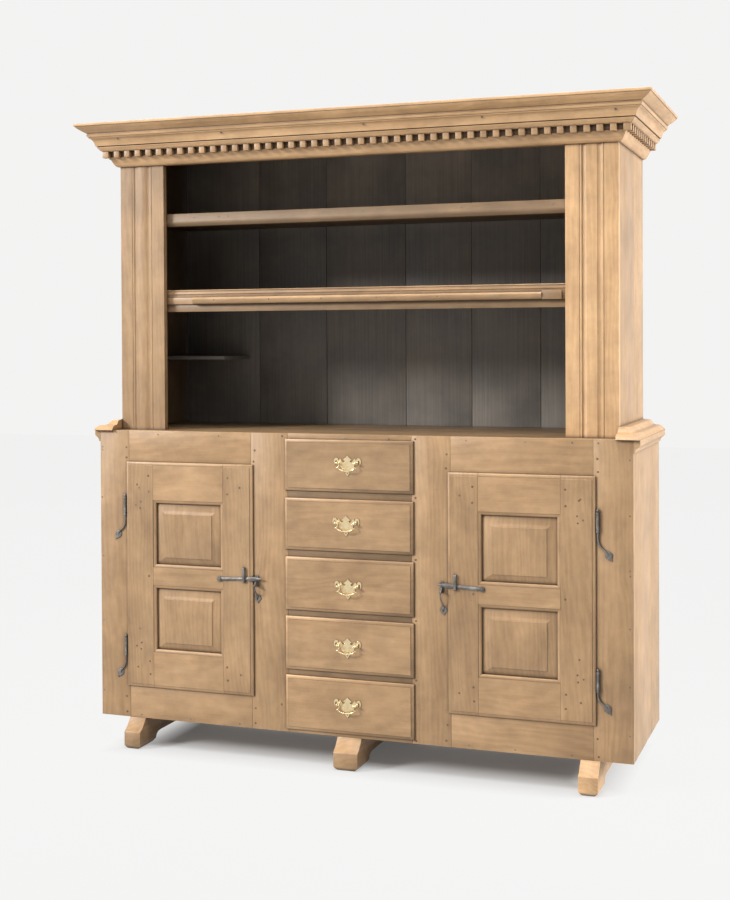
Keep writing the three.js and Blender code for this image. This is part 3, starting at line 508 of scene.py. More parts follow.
def smoothLine(points, steps):
    # a smooth curve through the points
    points = [Vector(p) for p in points]
    padded = [2 * points[0] - points[1], *points, 2 * points[-1] - points[-2]]
    line = []
    for a, b, c, d in zip(padded, padded[1:], padded[2:], padded[3:]):
        for i in range(steps):
            t = i / steps
            line.append(0.5 * (2 * b + (c - a) * t + (2 * a - 5 * b + 4 * c - d) * t * t
                               + (3 * b - a - 3 * c + d) * t * t * t))
    line.append(points[-1])
    return line


def curved(points, steps=4):
    # the same for a flat outline
    return [(p.x, p.y) for p in smoothLine([(a, b, 0) for a, b in points], steps)]


def rod(points, radii, sides=12):
    # a round bar along points; radii has one value for each point
    points = [Vector(p) for p in points]
    rings = []
    across = None
    for i, point in enumerate(points):
        ahead = (points[min(i + 1, len(points) - 1)] - points[max(i - 1, 0)]).normalized()
        if across is None:
            across = ahead.orthogonal().normalized()
        across = (across - ahead * across.dot(ahead)).normalized()
        other = ahead.cross(across)
        rings.append([point + radii[i] * (across * math.cos(a) + other * math.sin(a))
                      for a in (2 * math.pi * k / sides for k in range(sides))])
    return ringLoft(rings)


def outerFace(node, sign):
    low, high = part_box(node)
    return high.x if sign > 0 else low.x


# Pegs and nails, gathered while the boards are made
pegs = {"radius": 0.0036, "proud": 0.0005, "sides": 10}
nails = {"radius": 0.0026, "proud": 0.0007, "sides": 9}


def addPeg(bm, x, y, z, size=1.0):
    r = pegs["radius"] * size * grainRandom.uniform(0.9, 1.1)
    proud = pegs["proud"] * grainRandom.uniform(0.5, 1.5)
    profile = [(r, -0.002), (r, proud * 0.4), (r * 0.7, proud), (0, proud * 1.15)]
    stack(bm, lathe(profile, (x, y, z), (0, -1, 0), pegs["sides"]), "y", grainRandom.uniform(0.8, 1.1))


def addNail(bm, x, y, z, aim=(0, -1, 0)):
    r = nails["radius"] * grainRandom.uniform(0.85, 1.15)
    proud = nails["proud"]
    profile = [(r, -0.001), (r, proud * 0.5), (r * 0.6, proud), (0, proud * 1.2)]
    stack(bm, lathe(profile, (x, y, z), aim, nails["sides"]), "y", 1.0)


# Lower case
case = {
    "sideSeam": 0.346,
    "seamGap": 0.0006,
    "sideTones": (1.0, 0.95),
    # node, axis of the split, number of boards, finish and tone
    "panels": {
        "case_top": ("base_top", 1, 2, "waxed_wood", 0.46),
        "case_bottom": ("base_bottom", 1, 3, "box_wood", None),
        "case_back": ("base_back", 2, 5, "box_wood", None),
        "cupboardShelf_left": ("cupboard_shelf_left", 1, 2, "box_wood", None),
        "cupboardShelf_right": ("cupboard_shelf_right", 1, 2, "box_wood", None),
    },
}


def makeCase():
    seam, gap = depth(case["sideSeam"]), case["seamGap"] / 2
    for hand in hands:
        node = f"base_side_{hand}"
        low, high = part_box(node)
        bm = pile()
        stack(bm, board(low, (high.x, seam - gap, high.z)), "z", case["sideTones"][0])
        stack(bm, board((low.x, seam + gap, low.z), high), "z", case["sideTones"][1])
        settle(f"caseSide_{hand}", bm, "waxed_wood", "carcass", [node])
    for name, (node, axis, count, finish, tone) in case["panels"].items():
        bm = pile()
        splitBoards(bm, *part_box(node), axis, count, "x", tone=tone)
        settle(name, bm, finish, "carcass", [node])


lipOver = 0.008  # how far the lips of doors and drawers cover the frame


def holeSpan(node, axis):
    # from one edge to the other of the hole behind a lipped front
    low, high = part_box(node)
    return low[axis] + lipOver, high[axis] - lipOver


openings = {
    "drawers": [holeSpan(f"drawer_{n}", 2) for n in range(1, 6)],
    "drawerEdges": holeSpan("drawer_1", 0),
    "runnerWide": 0.016,
    "runnerHigh": 0.022,
}


def makePartitions():
    for hand, sign in hands.items():
        node = f"partition_{hand}"
        low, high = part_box(node)
        edge = openings["drawerEdges"][0 if sign < 0 else 1]
        outer, inner = outerFace(node, sign), edge - sign * openings["runnerWide"]
        bm = pile()
        stack(bm, board((min(edge, outer), low.y, low.z), (max(edge, outer), high.y, high.z)), "z")
        for bottom, _ in openings["drawers"][:4]:
            stack(bm, board((min(edge, inner), low.y, bottom - openings["runnerHigh"]),
                            (max(edge, inner), high.y, bottom)), "y")
        settle(f"partition_{hand}_boards", bm, "box_wood", "carcass", [node])


joint = 0.00035  # half of the open line between two boards
# between: the rails between the drawers are darker, painted shade under the drawers' lips
frameTones = {"stiles": (0.97, 1.0, 1.02, 0.98), "bottom": 1.04, "top": 1.07, "between": 0.62, "ends": 0.93}
# pegs of each rail end: from the shoulder line into the stile, and up as a share of the rail's height
railPegs = {"top": [(0.012, 0.18), (0.012, 0.50)], "bottom": [(0.014, 0.14), (0.014, 0.60)]}
drawerPegs = {"right": 0.013, "left": [(0.026, 0.189), (0.019, 1.085)]}
frameNails = {
    "left": [(0.0085, 1.036), (0.0080, 1.025), (0.0055, 0.860), (0.0090, 0.656), (0.0075, 0.430),
             (0.0080, 0.185)],
    "right": [(0.0110, 1.032), (0.0105, 0.861), (0.0110, 0.692), (0.0100, 0.676), (0.0112, 0.514),
              (0.0116, 0.336), (0.0119, 0.186)],
    "top": [-0.012, 0.138, 0.396, 0.588, 0.737, 0.8175, -0.47, -0.70],
    "bottom": [-0.770, -0.581, -0.398, 0.403, 0.553, 0.733],
    "fromTop": 0.012,
    "fromBottom": 0.0105,
}


def makeFaceFrame(pegPile, nailPile):
    low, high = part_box("face_frame")
    y0, y1 = low.y, high.y
    d0, d1 = openings["drawerEdges"]
    left, right = ((*holeSpan(f"door_{hand}_frame", 0), *holeSpan(f"door_{hand}_frame", 2)) for hand in hands)
    bm = pile()
    stiles = [(low.x, left[0]), (left[1], d0), (d1, right[0]), (right[1], high.x)]
    for (x0, x1), tone in zip(stiles, frameTones["stiles"]):
        stack(bm, board((x0, y0, low.z), (x1, y1, high.z)), "z", tone)
    for x0, x1, z0, z1 in (left, right):
        for name, bottom, top in (("bottom", low.z, z0), ("top", z1, high.z)):
            stack(bm, board((x0 + joint, y0, bottom), (x1 - joint, y1, top)), "x", frameTones[name])
            for x, way in ((x0, -1), (x1, 1)):
                for across, up in railPegs[name]:
                    addPeg(pegPile, x + way * (across + grainRandom.uniform(-0.003, 0.003)), y0,
                           bottom + (top - bottom) * up + grainRandom.uniform(-0.004, 0.004))
    edges = [low.z] + [z for hole in reversed(openings["drawers"]) for z in hole] + [high.z]
    for bottom, top in zip(edges[::2], edges[1::2]):
        between = top < high.z and bottom > low.z
        stack(bm, board((d0 + joint, y0, bottom), (d1 - joint, y1, top)), "x",
              frameTones["between" if between else "ends"])
        addPeg(pegPile, d1 + drawerPegs["right"], y0, (bottom + top) / 2 + grainRandom.uniform(-0.004, 0.004))
    for across, z in drawerPegs["left"]:
        addPeg(pegPile, d0 - across, y0, z)
    places = [(low.x + inward, z) for inward, z in frameNails["left"]]
    places += [(high.x - inward, z) for inward, z in frameNails["right"]]
    places += [(x, high.z - frameNails["fromTop"]) for x in frameNails["top"]]
    places += [(x, low.z + frameNails["fromBottom"]) for x in frameNails["bottom"]]
    for x, z in places:
        addNail(nailPile, x, y0, z)
    settle("faceFrame", bm, "waxed_wood", "carcass", ["face_frame"])


feet = {
    "pad": 0.112, "reach": 0.042, "relief": 0.033, "toe": 0.057, "chamfer": 0.012, "round": 0.010,
    "toeLine": [(0, 1), (0.1, 0.86), (0.3, 0.62), (0.6, 0.31), (0.94, 0.08), (1, 0)],
    "reliefLine": [(0, 0), (0.003, 0.3), (0.009, 0.7), (0.022, 0.94), (0.038, 1)],
    # painted light: the feet are paler to the right, and toeLight makes the lower front of each toe paler
    "tones": {"left": 0.82, "middle": 0.95, "right": 1.28},
    "toeLight": {"left": 1.0, "middle": 1.12, "right": 1.42},
}


def makeFeet():
    reach, pad, toe, chamfer = (feet[key] for key in ("reach", "pad", "toe", "chamfer"))
    for place in ("left", "middle", "right"):
        low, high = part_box(f"foot_{place}")
        outline = curved([(depth(0) - reach * a, toe + (high.z - toe) * b) for a, b in feet["toeLine"]], 3)
        outline += [(low.y, feet["round"]), (low.y + 0.003, 0.003), (low.y + feet["round"], 0)]
        rise = curved([(a, b * feet["relief"]) for a, b in feet["reliefLine"]], 3)
        outline += [(low.y + pad + a, b) for a, b in rise]
        outline += [(high.y - pad - a, b) for a, b in reversed(rise)]
        outline += [(high.y - feet["round"], 0), (high.y, feet["round"]), (high.y, high.z)]
        bm = prism(outline, "x", low.x, high.x)
        for sign, x in ((-1, low.x), (1, high.x)):  # planed lower corners
            cut(bm, (x - sign * chamfer, 0, 0), Vector((sign * chamfer, 0, -chamfer)).normalized())
        bmesh.ops.dissolve_degenerate(bm, dist=1e-6, edges=bm.edges[:])
        whole = pile()
        stack(whole, soften(bm, 0.0012, 2, 40), "y", feet["tones"][place])
        # painted light on the lower front of the toe
        shadeWhere(whole, lambda spot: spot.y < low.y + 0.006 and spot.z < toe - 0.004,
                   feet["toeLight"][place])
        settle(f"foot_{place}_runner", whole, "waxed_wood", "carcass", [f"foot_{place}"])


# Mouldings: a section of (out, up) points run along straight legs with mitred corners
def leg(section, start, end, startSlant, endSlant, gap=0.0002):
    start, end = Vector((*start, 0)), Vector((*end, 0))
    along = (end - start).normalized()
    outward = Vector((along.y, -along.x, 0))
    rings = []
    for point, slant, trim in ((start, startSlant, gap), (end, endSlant, -gap)):
        shift = along * (trim if slant else 0)
        rings.append([point + shift + outward * out + along * slant * out + Vector((0, 0, up))
                      for out, up in section])
    return ringLoft(rings)


cornice = {
    "bottom": 2.012,
    "top": 0.142,
    "groundOut": 0.026,
    "bandTop": 0.0515,
    "dentil": {"out": 0.045, "from": 0.0295, "pitch": 0.0411, "gap": 0.0212, "ease": 0.0006, "least": 0.003},
    "bed": [(0, 0), (0.008, 0.0010), (0.0155, 0.0075), (0.0215, 0.0195), (0.028, 0.031)],
    "band": [(0.0462, 0.0522), (0.0500, 0.0540), (0.0555, 0.0600), (0.0590, 0.0640)],
    "cove": [(0.0632, 0.0690), (0.0640, 0.0730), (0.0672, 0.0830), (0.0725, 0.0910), (0.0800, 0.0958)],
    "fillet": [(0.0825, 0.0990), (0.0840, 0.1010), (0.0852, 0.1035), (0.0862, 0.1060)],
    "crown": [(0.0868, 0.1120), (0.0905, 0.1145), (0.0975, 0.1190), (0.1050, 0.1240), (0.1110, 0.1290),
              (0.1150, 0.1335)],
    # painted light: the mouldings are paler, standing in for the light on the cornice; the ground behind the
    # dentils is darker, painted shade between them
    "tones": {"bed": 1.5, "ground": 0.55, "dentil": 1.1, "cove": 1.52, "crown": 1.46, "cap": 1.5},
    "returnShare": 0.84,
    "coreTone": 0.92,
    "lid": 0.022,
    "nails": [-0.83, -0.42, 0.05, 0.47, 0.85],
    "nailPlace": (0.0735, 0.0885, (0, -1, -0.4)),  # out, up and aim, square to the cove
}


def corniceSections():
    ground, band, top = cornice["groundOut"], cornice["bandTop"], cornice["top"]
    neck = [(0.0592, 0.0665), (0.0565, 0.0676), (0.0565, 0.0688)]
    return {
        "bed": curved(cornice["bed"]) + [(0.028, 0.0335), (ground, 0.0345), (0, 0.0345)],
        "ground": [(0, 0.0346), (ground, 0.0346), (ground, band), (0, band)],
        "cove": [(0, 0.0517), (0.0455, 0.0517)] + curved(cornice["band"]) + neck + curved(cornice["cove"])
                + [(0.0802, 0.0985), (0, 0.0985)],
        "crown": [(0, 0.0987), (0.0820, 0.0987)] + cornice["fillet"] + [(0.0838, 0.1068), (0.0838, 0.1115)]
                 + curved(cornice["crown"]) + [(0, 0.1335)],
        "cap": [(0, 0.1337), (0.1168, 0.1337), (0.1180, 0.1347), (0.1180, top), (0, top)],
    }


def addDentils(bm, base, sideX, frontY, rear):
    dentil, tone = cornice["dentil"], cornice["tones"]["dentil"]
    pitch, gap, out, ease = (dentil[key] for key in ("pitch", "gap", "out", "ease"))
    z0, z1 = base + dentil["from"], base + cornice["bandTop"] + 0.0002
    back = cornice["groundOut"] - 0.0005
    edge = sideX + out
    count = 2 * round((edge - gap) / pitch)
    cuts = [(i - (count - 1) / 2) * pitch for i in range(count)]
    for a, b in zip([-edge] + [c + gap / 2 for c in cuts], [c - gap / 2 for c in cuts] + [edge]):
        wobble = grainRandom.uniform(-0.0006, 0.0006)
        stack(bm, board((a + wobble, frontY - out, z0), (b + wobble * 0.5, frontY - back, z1), ease), "x",
              tone * grainRandom.uniform(0.92, 1.08))
    returnCuts = []
    y = frontY - out + edge - cuts[-1]
    while y < rear - gap:
        returnCuts.append(y)
        y += pitch
    for sign in hands.values():
        x0, x1 = sorted((sign * (sideX + back), sign * (sideX + out)))
        for a, b in zip([frontY - back + 0.0003] + [c + gap / 2 for c in returnCuts],
                        [c - gap / 2 for c in returnCuts] + [rear]):
            if b - a >= dentil["least"]:
                stack(bm, board((x0, a, z0), (x1, b, z1), ease), "y", tone)


def makeCornice(nailPile):
    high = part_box("cornice")[1]
    sideX = outerFace("hutch_side_right", 1)
    pilasterLow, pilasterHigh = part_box("pilaster_right")
    frontY, opening, rear, base = pilasterLow.y, pilasterLow.x, high.y, cornice["bottom"]
    corners = [(-sideX, rear), (-sideX, frontY), (sideX, frontY), (sideX, rear)]
    runs = list(zip(corners, corners[1:], [(0, 1), (-1, 1), (-1, 0)], ("y", "x", "y")))
    bm = pile()
    for name, section in corniceSections().items():
        placed = [(out, base + up) for out, up in section]
        for start, end, slants, way in runs:
            tone = cornice["tones"][name] * (cornice["returnShare"] if way == "y" else 1)
            stack(bm, soften(leg(placed, start, end, *slants), 0.0005, 1, 50), way,
                  tone * grainRandom.uniform(0.97, 1.03))
    addDentils(bm, base, sideX, frontY, rear)
    lid = cornice["lid"]
    stack(bm, board((-opening, frontY + 0.0004, base), (opening, pilasterHigh.y, high.z - lid - 0.0002)), "x",
          cornice["coreTone"])
    middle = (frontY + rear) / 2
    for y0, y1 in ((frontY, middle), (middle, rear)):
        stack(bm, board((-sideX + 0.0003, y0, high.z - lid), (sideX - 0.0003, y1 - 0.0005, high.z - 0.0004)),
              "x")
    nailOut, nailUp, nailAim = cornice["nailPlace"]
    for x in cornice["nails"]:
        addNail(nailPile, x + grainRandom.uniform(-0.03, 0.03), frontY - nailOut, base + nailUp, nailAim)
    settle("corniceMouldings", bm, "waxed_wood", "carcass", ["cornice"])


endMould = {
    # painted light: the end mouldings are paler than the plain wood
    "tone": 1.12,
    "hip": [(0.000, 0.036), (0.022, 0.0331), (0.0265, 0.0310), (0.031, 0.0262), (0.0352, 0.0206),
            (0.0407, 0.0176), (0.047, 0.0166), (0.054, 0.0162), (0.0605, 0.0138), (0.0665, 0.0088),
            (0.0712, 0.0035), (0.0738, -0.003)],
    "lap": [(0.0740, -0.0175), (0.0700, -0.0215), (0.0660, -0.0245), (0.0625, -0.0280), (0.0600, -0.0320),
            (0.0582, -0.0395)],
}


def makeEndMouldings():
    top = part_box("face_frame")[1].z
    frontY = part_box("pilaster_right")[0].y
    hip, lap = curved(endMould["hip"], 2), curved(endMould["lap"], 2)
    for hand, sign in hands.items():
        low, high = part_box(f"end_moulding_{hand}")
        sideX = outerFace(f"hutch_side_{hand}", sign)
        caseOut = abs(outerFace(f"base_side_{hand}", sign) - sideX) + 0.0001
        reach = abs(high.x - low.x)
        front = frontY - low.y
        section = [(0, top)] + [(a, top + b) for a, b in hip if b > 0] + [(reach, top + 0.0002)]
        # the side run, mitred to the short front return
        runs = {
            "y": [[(sideX + sign * out, y, up) for out, up in section] for y in (high.y, low.y - 0.001)],
            "x": [[(x, frontY - out * front / reach, up) for out, up in section]
                  for x in (sideX, sideX + sign * (reach + 0.001))],
        }
        mitre = Vector((sign * front, reach, 0)).normalized()
        bm = pile()
        for way, away in (("y", -mitre), ("x", mitre)):
            run = ringLoft(runs[way])
            cut(run, (sideX, frontY, 0), away)
            stack(bm, soften(run, 0.0004, 1, 50), way, endMould["tone"])
        nosing = [(caseOut, top - 0.0002), (reach, top - 0.0002)]
        nosing += [(a, top + b) for a, b in lap] + [(caseOut, top + endMould["lap"][-1][1])]
        rings = [[(sideX + sign * out, y, up) for out, up in nosing] for y in (depth(0), high.y)]
        stack(bm, soften(ringLoft(rings), 0.0005, 1, 50), "y", endMould["tone"])
        settle(f"endMoulding_{hand}_run", bm, "waxed_wood", "carcass", [f"end_moulding_{hand}"])


# Hutch
pilaster = {
    # painted light: the right pilaster is paler than the left, standing in for light from the upper right
    "tone": {"left": 0.92, "right": 1.5},
    "relief": {"left": 0.36, "right": 0.6},
    "beadShare": [(0.266, 0), (0.269, 0.10), (0.276, 0.12), (0.2805, 0.03), (0.287, 0), (0.297, 0),
                  (0.307, 0), (0.3135, 0.04), (0.316, 0.13), (0.322, 0.20), (0.335, 0.262), (0.352, 0.26),
                  (0.370, 0.21), (0.388, 0.12), (0.398, 0.04), (0.402, 0)],
}
hutch = {
    "sideSeam": 0.58,
    "inside": 0.3,  # the inner faces are darker by this share
    "backSeams": [-0.550, -0.281, 0.025, 0.271, 0.520],
    "backGap": 0.0008,
    "backEase": 0.0016,
    "below": 0.0003,  # everything ends this much below the cornice
}


def makeHutch():
    below, half = hutch["below"], pilaster["beadShare"]
    for hand, sign in hands.items():
        low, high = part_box(f"pilaster_{hand}")
        wide, thick = high.x - low.x, (high.y - low.y) * pilaster["relief"][hand]
        shares = [(0, 0)] + half + [(1 - a, b) for a, b in reversed(half)] + [(1, 0)]
        outline = [(low.x + wide * a, low.y + thick * b) for a, b in shares]
        outline += [(high.x, high.y), (low.x, high.y)]
        bm = pile()
        shaft = soften(prism(outline, "z", low.z, high.z - below), 0.0007, 1, 60)
        stack(bm, shaft, "z", pilaster["tone"][hand])
        settle(f"pilaster_{hand}_board", bm, "waxed_wood", "carcass", [f"pilaster_{hand}"])
        low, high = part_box(f"hutch_side_{hand}")
        bm = pile()
        splitBoards(bm, low, (high.x, high.y, high.z - below), 1, 2, "z", shares=[0, hutch["sideSeam"], 1])
        inner = high.x if sign < 0 else low.x
        shadeWhere(bm, lambda spot: abs(spot.x - inner) < 1e-5, hutch["inside"])
        settle(f"hutchSide_{hand}", bm, "waxed_wood", "carcass", [f"hutch_side_{hand}"])
    low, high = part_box("hutch_back")
    seams, gap = [low.x, *hutch["backSeams"], high.x], hutch["backGap"]
    bm = pile()
    for a, b in zip(seams, seams[1:]):
        stack(bm, board((a + gap, low.y, low.z), (b - gap, high.y, high.z - below), hutch["backEase"]), "z")
    settle("hutchBack_boards", bm, "painted_boards", "carcass", ["hutch_back"])


shelves = {
    "strip": [(0.0007, 0), (0.0007, 0.0235), (0, 0.0252), (0, 0.0330), (0.0012, 0.0355), (0.0035, 0.0385),
              (0.0060, 0.043)],
    "stripDeep": 0.020,
    "thick": 0.024,
    # darkBoards: the boards behind the front strips are darker
    "tones": {"upper": 0.56, "nosing": 0.92, "above": 0.85, "below": 0.68, "darkBoards": 0.4},
    "corner": ((0.075, 0.85), (0.052, 0.8), (0.030, 0.7), (0.012, 0.75)),  # painted shadow of the left pilaster: darker towards the left end
    "nails": [-0.60, -0.505, -0.47, 0.02, 0.36, 0.66],
    "nailDrop": 0.013,
    "railIn": 0.006,
    "railThick": 0.014,
    "railDrop": 0.0035,
    "railBeads": (0.0075, 0.0185),
    "bead": [(0.0014, 0.0006), (0.0015, 0.0020), (0.0008, 0.0032), (0, 0.0055)],
    "railTop": [(0, 0.003), (0.0012, 0.0008), (0.003, 0)],
    "gap": 0.0003,
    "spiceEase": 0.002,
}


def makeShelves(nailPile):
    tones, gap = shelves["tones"], shelves["gap"]
    low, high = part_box("upper_shelf")
    back = low.y + shelves["stripDeep"]
    section = [(low.y + a, high.z - b) for a, b in shelves["strip"]] + [(back, low.z), (back, high.z)]
    strip = soften(prism(section, "x", low.x, high.x), 0.0006, 1, 50)
    for reach, _ in shelves["corner"]:
        cut(strip, (low.x + reach, 0, 0), (1, 0, 0), drop=False)
    bm = pile()
    stack(bm, strip, "x", tones["upper"])
    # painted shadow of the left pilaster on the strip's left end
    for reach, share in shelves["corner"]:
        shadeWhere(bm, lambda spot: spot.x < low.x + reach + 1e-5, share)
    splitBoards(bm, (low.x, back + 0.0002, high.z - shelves["thick"]), high, 1, 2, "x", tone=tones["darkBoards"])
    for x in shelves["nails"]:
        addNail(nailPile, x, low.y, high.z - shelves["nailDrop"])
    settle("upperShelf_boards", bm, "waxed_wood", "carcass", ["upper_shelf"])

    # the plate rail stands on the spoon shelf and goes on below it
    low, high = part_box("spoon_shelf")
    rackLow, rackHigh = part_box("spoon_rack")
    top, under, front = rackHigh.z, rackLow.z, low.y + shelves["railIn"]
    back, railTop = front + shelves["railThick"], high.z - shelves["railDrop"]
    bm = pile()
    stack(bm, board((low.x, low.y, under), (high.x, back, top)), "x", tones["nosing"])
    splitBoards(bm, (low.x, back + 0.0002, under), (high.x, high.y, top), 1, 2, "x", tone=tones["darkBoards"])
    outline = [(front, top + gap), (front, top + shelves["railBeads"][0])]
    for bead in shelves["railBeads"]:
        outline += [(front + a, top + bead + b) for a, b in shelves["bead"]]
    outline += [(front + a, railTop - b) for a, b in shelves["railTop"]]
    outline += [(back, railTop), (back, top + gap)]
    stack(bm, prism(outline, "x", low.x, high.x), "x", tones["above"])
    stack(bm, board((low.x, front, low.z), (high.x, back, under - gap)), "x", tones["below"])
    settle("spoonShelf_boards", bm, "waxed_wood", "carcass", ["spoon_shelf"])
    makeRack(nailPile, rackLow, rackHigh)

    bm = pile()
    stack(bm, board(*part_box("spice_shelf"), shelves["spiceEase"]), "x")
    settle("spiceShelf_board", bm, "painted_boards", "carcass", ["spice_shelf"])


rack = {
    "stripEnd": 0.626, "blockEnd": 0.690, "blockBack": 0.004, "blockProud": 0.0045,
    "middle": 0.031, "pitch": 0.100, "endStep": 0.112, "eachSide": 6,
    "slotWide": 0.014, "slotDeep": 0.008,
    "tones": {"strip": 1.0, "block": 0.72, "behind": 1.04},
    "nosing": [(0.0062, 0.05), (0.0045, 0.13), (0.0022, 0.30), (0.0007, 0.50), (0, 0.70), (0.0010, 0.84),
               (0.0036, 0.95), (0.0075, 1)],
}


def makeRack(nailPile, low, high):
    # face strip in front, and blocks behind it between the slots
    tones, tall = rack["tones"], high.z - low.z
    slotBack = high.y - rack["slotDeep"]
    nosing = [(low.y + a, low.z + tall * b) for a, b in rack["nosing"]]
    outline = [(slotBack, nosing[0][1])] + curved(nosing) + [(slotBack, high.z)]
    bm = pile()
    stack(bm, prism(outline, "x", low.x, rack["stripEnd"]), "x", tones["strip"])
    stack(bm, board((rack["stripEnd"] + 0.0003, low.y + rack["blockBack"], low.z - 0.001),
                    (rack["blockEnd"], slotBack, high.z + rack["blockProud"]), 0.0016), "x", tones["block"])
    steps = [rack["endStep"]] + [rack["pitch"]] * (2 * rack["eachSide"] - 2) + [rack["endStep"]]
    slots = [rack["middle"] - sum(steps) / 2]
    for step in steps:
        slots.append(slots[-1] + step)
    half = rack["slotWide"] / 2
    for a, b in zip([low.x] + [x + half for x in slots], [x - half for x in slots] + [rack["blockEnd"]]):
        stack(bm, board((a, slotBack + 0.0001, low.z), (b, high.y, high.z), 0.0012), "x", tones["behind"])
    for a, b in list(zip(slots, slots[1:]))[::2]:
        addNail(nailPile, (a + b) / 2 + grainRandom.uniform(-0.01, 0.01), low.y + 0.0004, low.z + tall * 0.6)
    settle("spoonRack_strip", bm, "waxed_wood", "carcass", ["spoon_rack"])


# Doors
lip = {
    "proud": 0.009, "mould": 0.011, "edge": 0.003, "fillet": 0.0016, "body": 0.0095, "gap": 0.0003,
    "thick": 0.022, "steps": 7,
}


def lipFace():
    return depth(-lip["proud"])


def lipLevels(left, right, bottom, top):
    # the sides with a 1 are lipped; a 0 stays straight
    sides = (left, right, bottom, top)
    step = lipFace() + lip["fillet"]
    room = lip["proud"] - lip["fillet"] - lip["edge"]
    run = [(lipFace(), 1.0), (step, 1.0)]
    run += [(step + room * back, 1.0 - out) for out, back in quarter(lip["steps"])]
    levels = [(y, *(lip["mould"] * share * side for side in sides)) for y, share in run]
    levels.append((depth(-lip["gap"]), 0, 0, 0, 0))
    for y in (depth(-lip["gap"]), depth(lip["thick"] - lip["proud"])):
        levels.append((y, *(lip["body"] * side for side in sides)))
    return levels


door = {
    "mould": 0.0105, "mouldSteps": 6, "sightIn": (0.009, 0.0025), "mouldBack": 0.0026, "tongue": 0.0065,
    # the rails are paler than the stiles, a painted sheen of the cross grain
    "stileTones": (0.93, 0.96), "railTones": {"bottom": 1.06, "middle": 1.02, "top": 1.08},
    # pegs: across from the shoulder line into the stile, and down as a share of the rail's height
    "pegs": {
        "top": [(0.017, 0.36), (0.017, 0.78), (0.062, 0.60)],
        "middle": [(0.017, 0.50)],
        "bottom": [(0.015, 0.26), (0.062, 0.44), (0.015, 0.62)],
    },
    # rivets of the hinge leaves: in from the door's edge, down from the barrel's top
    "rivets": [(0.051, -0.036), (0.057, 0.012), (0.038, 0.024), (0.055, 0.034)],
    "rivetSize": 0.85,
}


def lightPlaces(hand):
    # the panels reach into a groove round each light
    spans = []
    for level in ("lower", "upper"):
        low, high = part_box(f"door_{hand}_{level}_panel")
        spans.append((low.z + door["tongue"], high.z - door["tongue"]))
    return low.x + door["tongue"], high.x - door["tongue"], spans


def addSticking(bm, x0, x1, z0, z1):
    # the moulded edge round one light
    m, step = door["mould"], lipFace() + lip["fillet"]
    room, back = depth(-lip["edge"]) - step, depth(door["mouldBack"])
    section = [(0.0, step)] + [(m * a, step + room * b) for a, b in quarter(door["mouldSteps"])]
    section += [(m, back), (0.0, back)]
    sight = [(x0, z0), (x1, z0), (x1, z1), (x0, z1)]
    outer = [(x0 - m, z0 - m), (x1 + m, z0 - m), (x1 + m, z1 + m), (x0 - m, z1 + m)]
    corners = [[(ox + (sx - ox) * a / m, y, oz + (sz - oz) * a / m) for a, y in section]
               for (sx, sz), (ox, oz) in zip(sight, outer)]
    for i in range(4):
        stack(bm, ringLoft([corners[i], corners[(i + 1) % 4]]), "x" if i % 2 == 0 else "z", 1.0)


def makeDoor(hand, sign, pegPile):
    low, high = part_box(f"door_{hand}_frame")
    x0, x1, lights = lightPlaces(hand)
    dx, dz = door["sightIn"]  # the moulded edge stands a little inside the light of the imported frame
    sights = [(x0 + dx, x1 - dx, z0 + dz, z1 - dz) for z0, z1 in lights]
    left, right = x0 + dx - door["mould"], x1 - dx + door["mould"]
    bm = pile()
    stiles = [(low.x, left, 1, 0), (right, high.x, 0, 1)]
    for (a, b, *lipped), tone in zip(stiles, door["stileTones"]):
        stile = ringLoft(frontRings(a, b, low.z, high.z, lipLevels(*lipped, 1, 1)))
        stack(bm, soften(stile, 0.0005, 1, 60), "z", tone)
    (_, _, lowSill, lowHead), (_, _, highSill, highHead) = sights
    m = door["mould"]
    rails = {"bottom": (low.z, lowSill - m, 1, 0), "middle": (lowHead + m, highSill - m, 0, 0),
             "top": (highHead + m, high.z, 0, 1)}
    for name, (z0, z1, *lipped) in rails.items():
        rail = ringLoft(frontRings(left + joint, right - joint, z0, z1, lipLevels(0, 0, *lipped)))
        stack(bm, soften(rail, 0.0005, 1, 60), "x", door["railTones"][name])
        for x, way in ((left, -1), (right, 1)):
            for across, down in door["pegs"][name]:
                addPeg(pegPile, x + way * (across + grainRandom.uniform(-0.002, 0.002)), lipFace(),
                       z1 - (z1 - z0) * down)
    edge = outerFace(f"door_{hand}_frame", sign)
    for level in ("upper", "lower"):
        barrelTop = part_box(f"hinge_strap_{hand}_{level}")[1].z
        for inward, down in door["rivets"]:
            addPeg(pegPile, edge - sign * inward, lipFace(), barrelTop - down, door["rivetSize"])
    for sight in sights:
        addSticking(bm, *sight)
    settle(f"door_{hand}_boards", bm, "waxed_wood", f"door_{hand}", [f"door_{hand}_frame"])
    for level, (z0, z1) in zip(("lower", "upper"), lights):
        makePanel(hand, level, x0, x1, z0, z1)


panel = {
    "side": 0.042, "top": 0.039, "bottom": 0.027, "sunk": 0.003, "step": 0.0016, "edge": 0.0048,
    "back": 0.0067, "tongue": 0.001, "slopeSteps": 6, "slopeBend": 0.92,
}


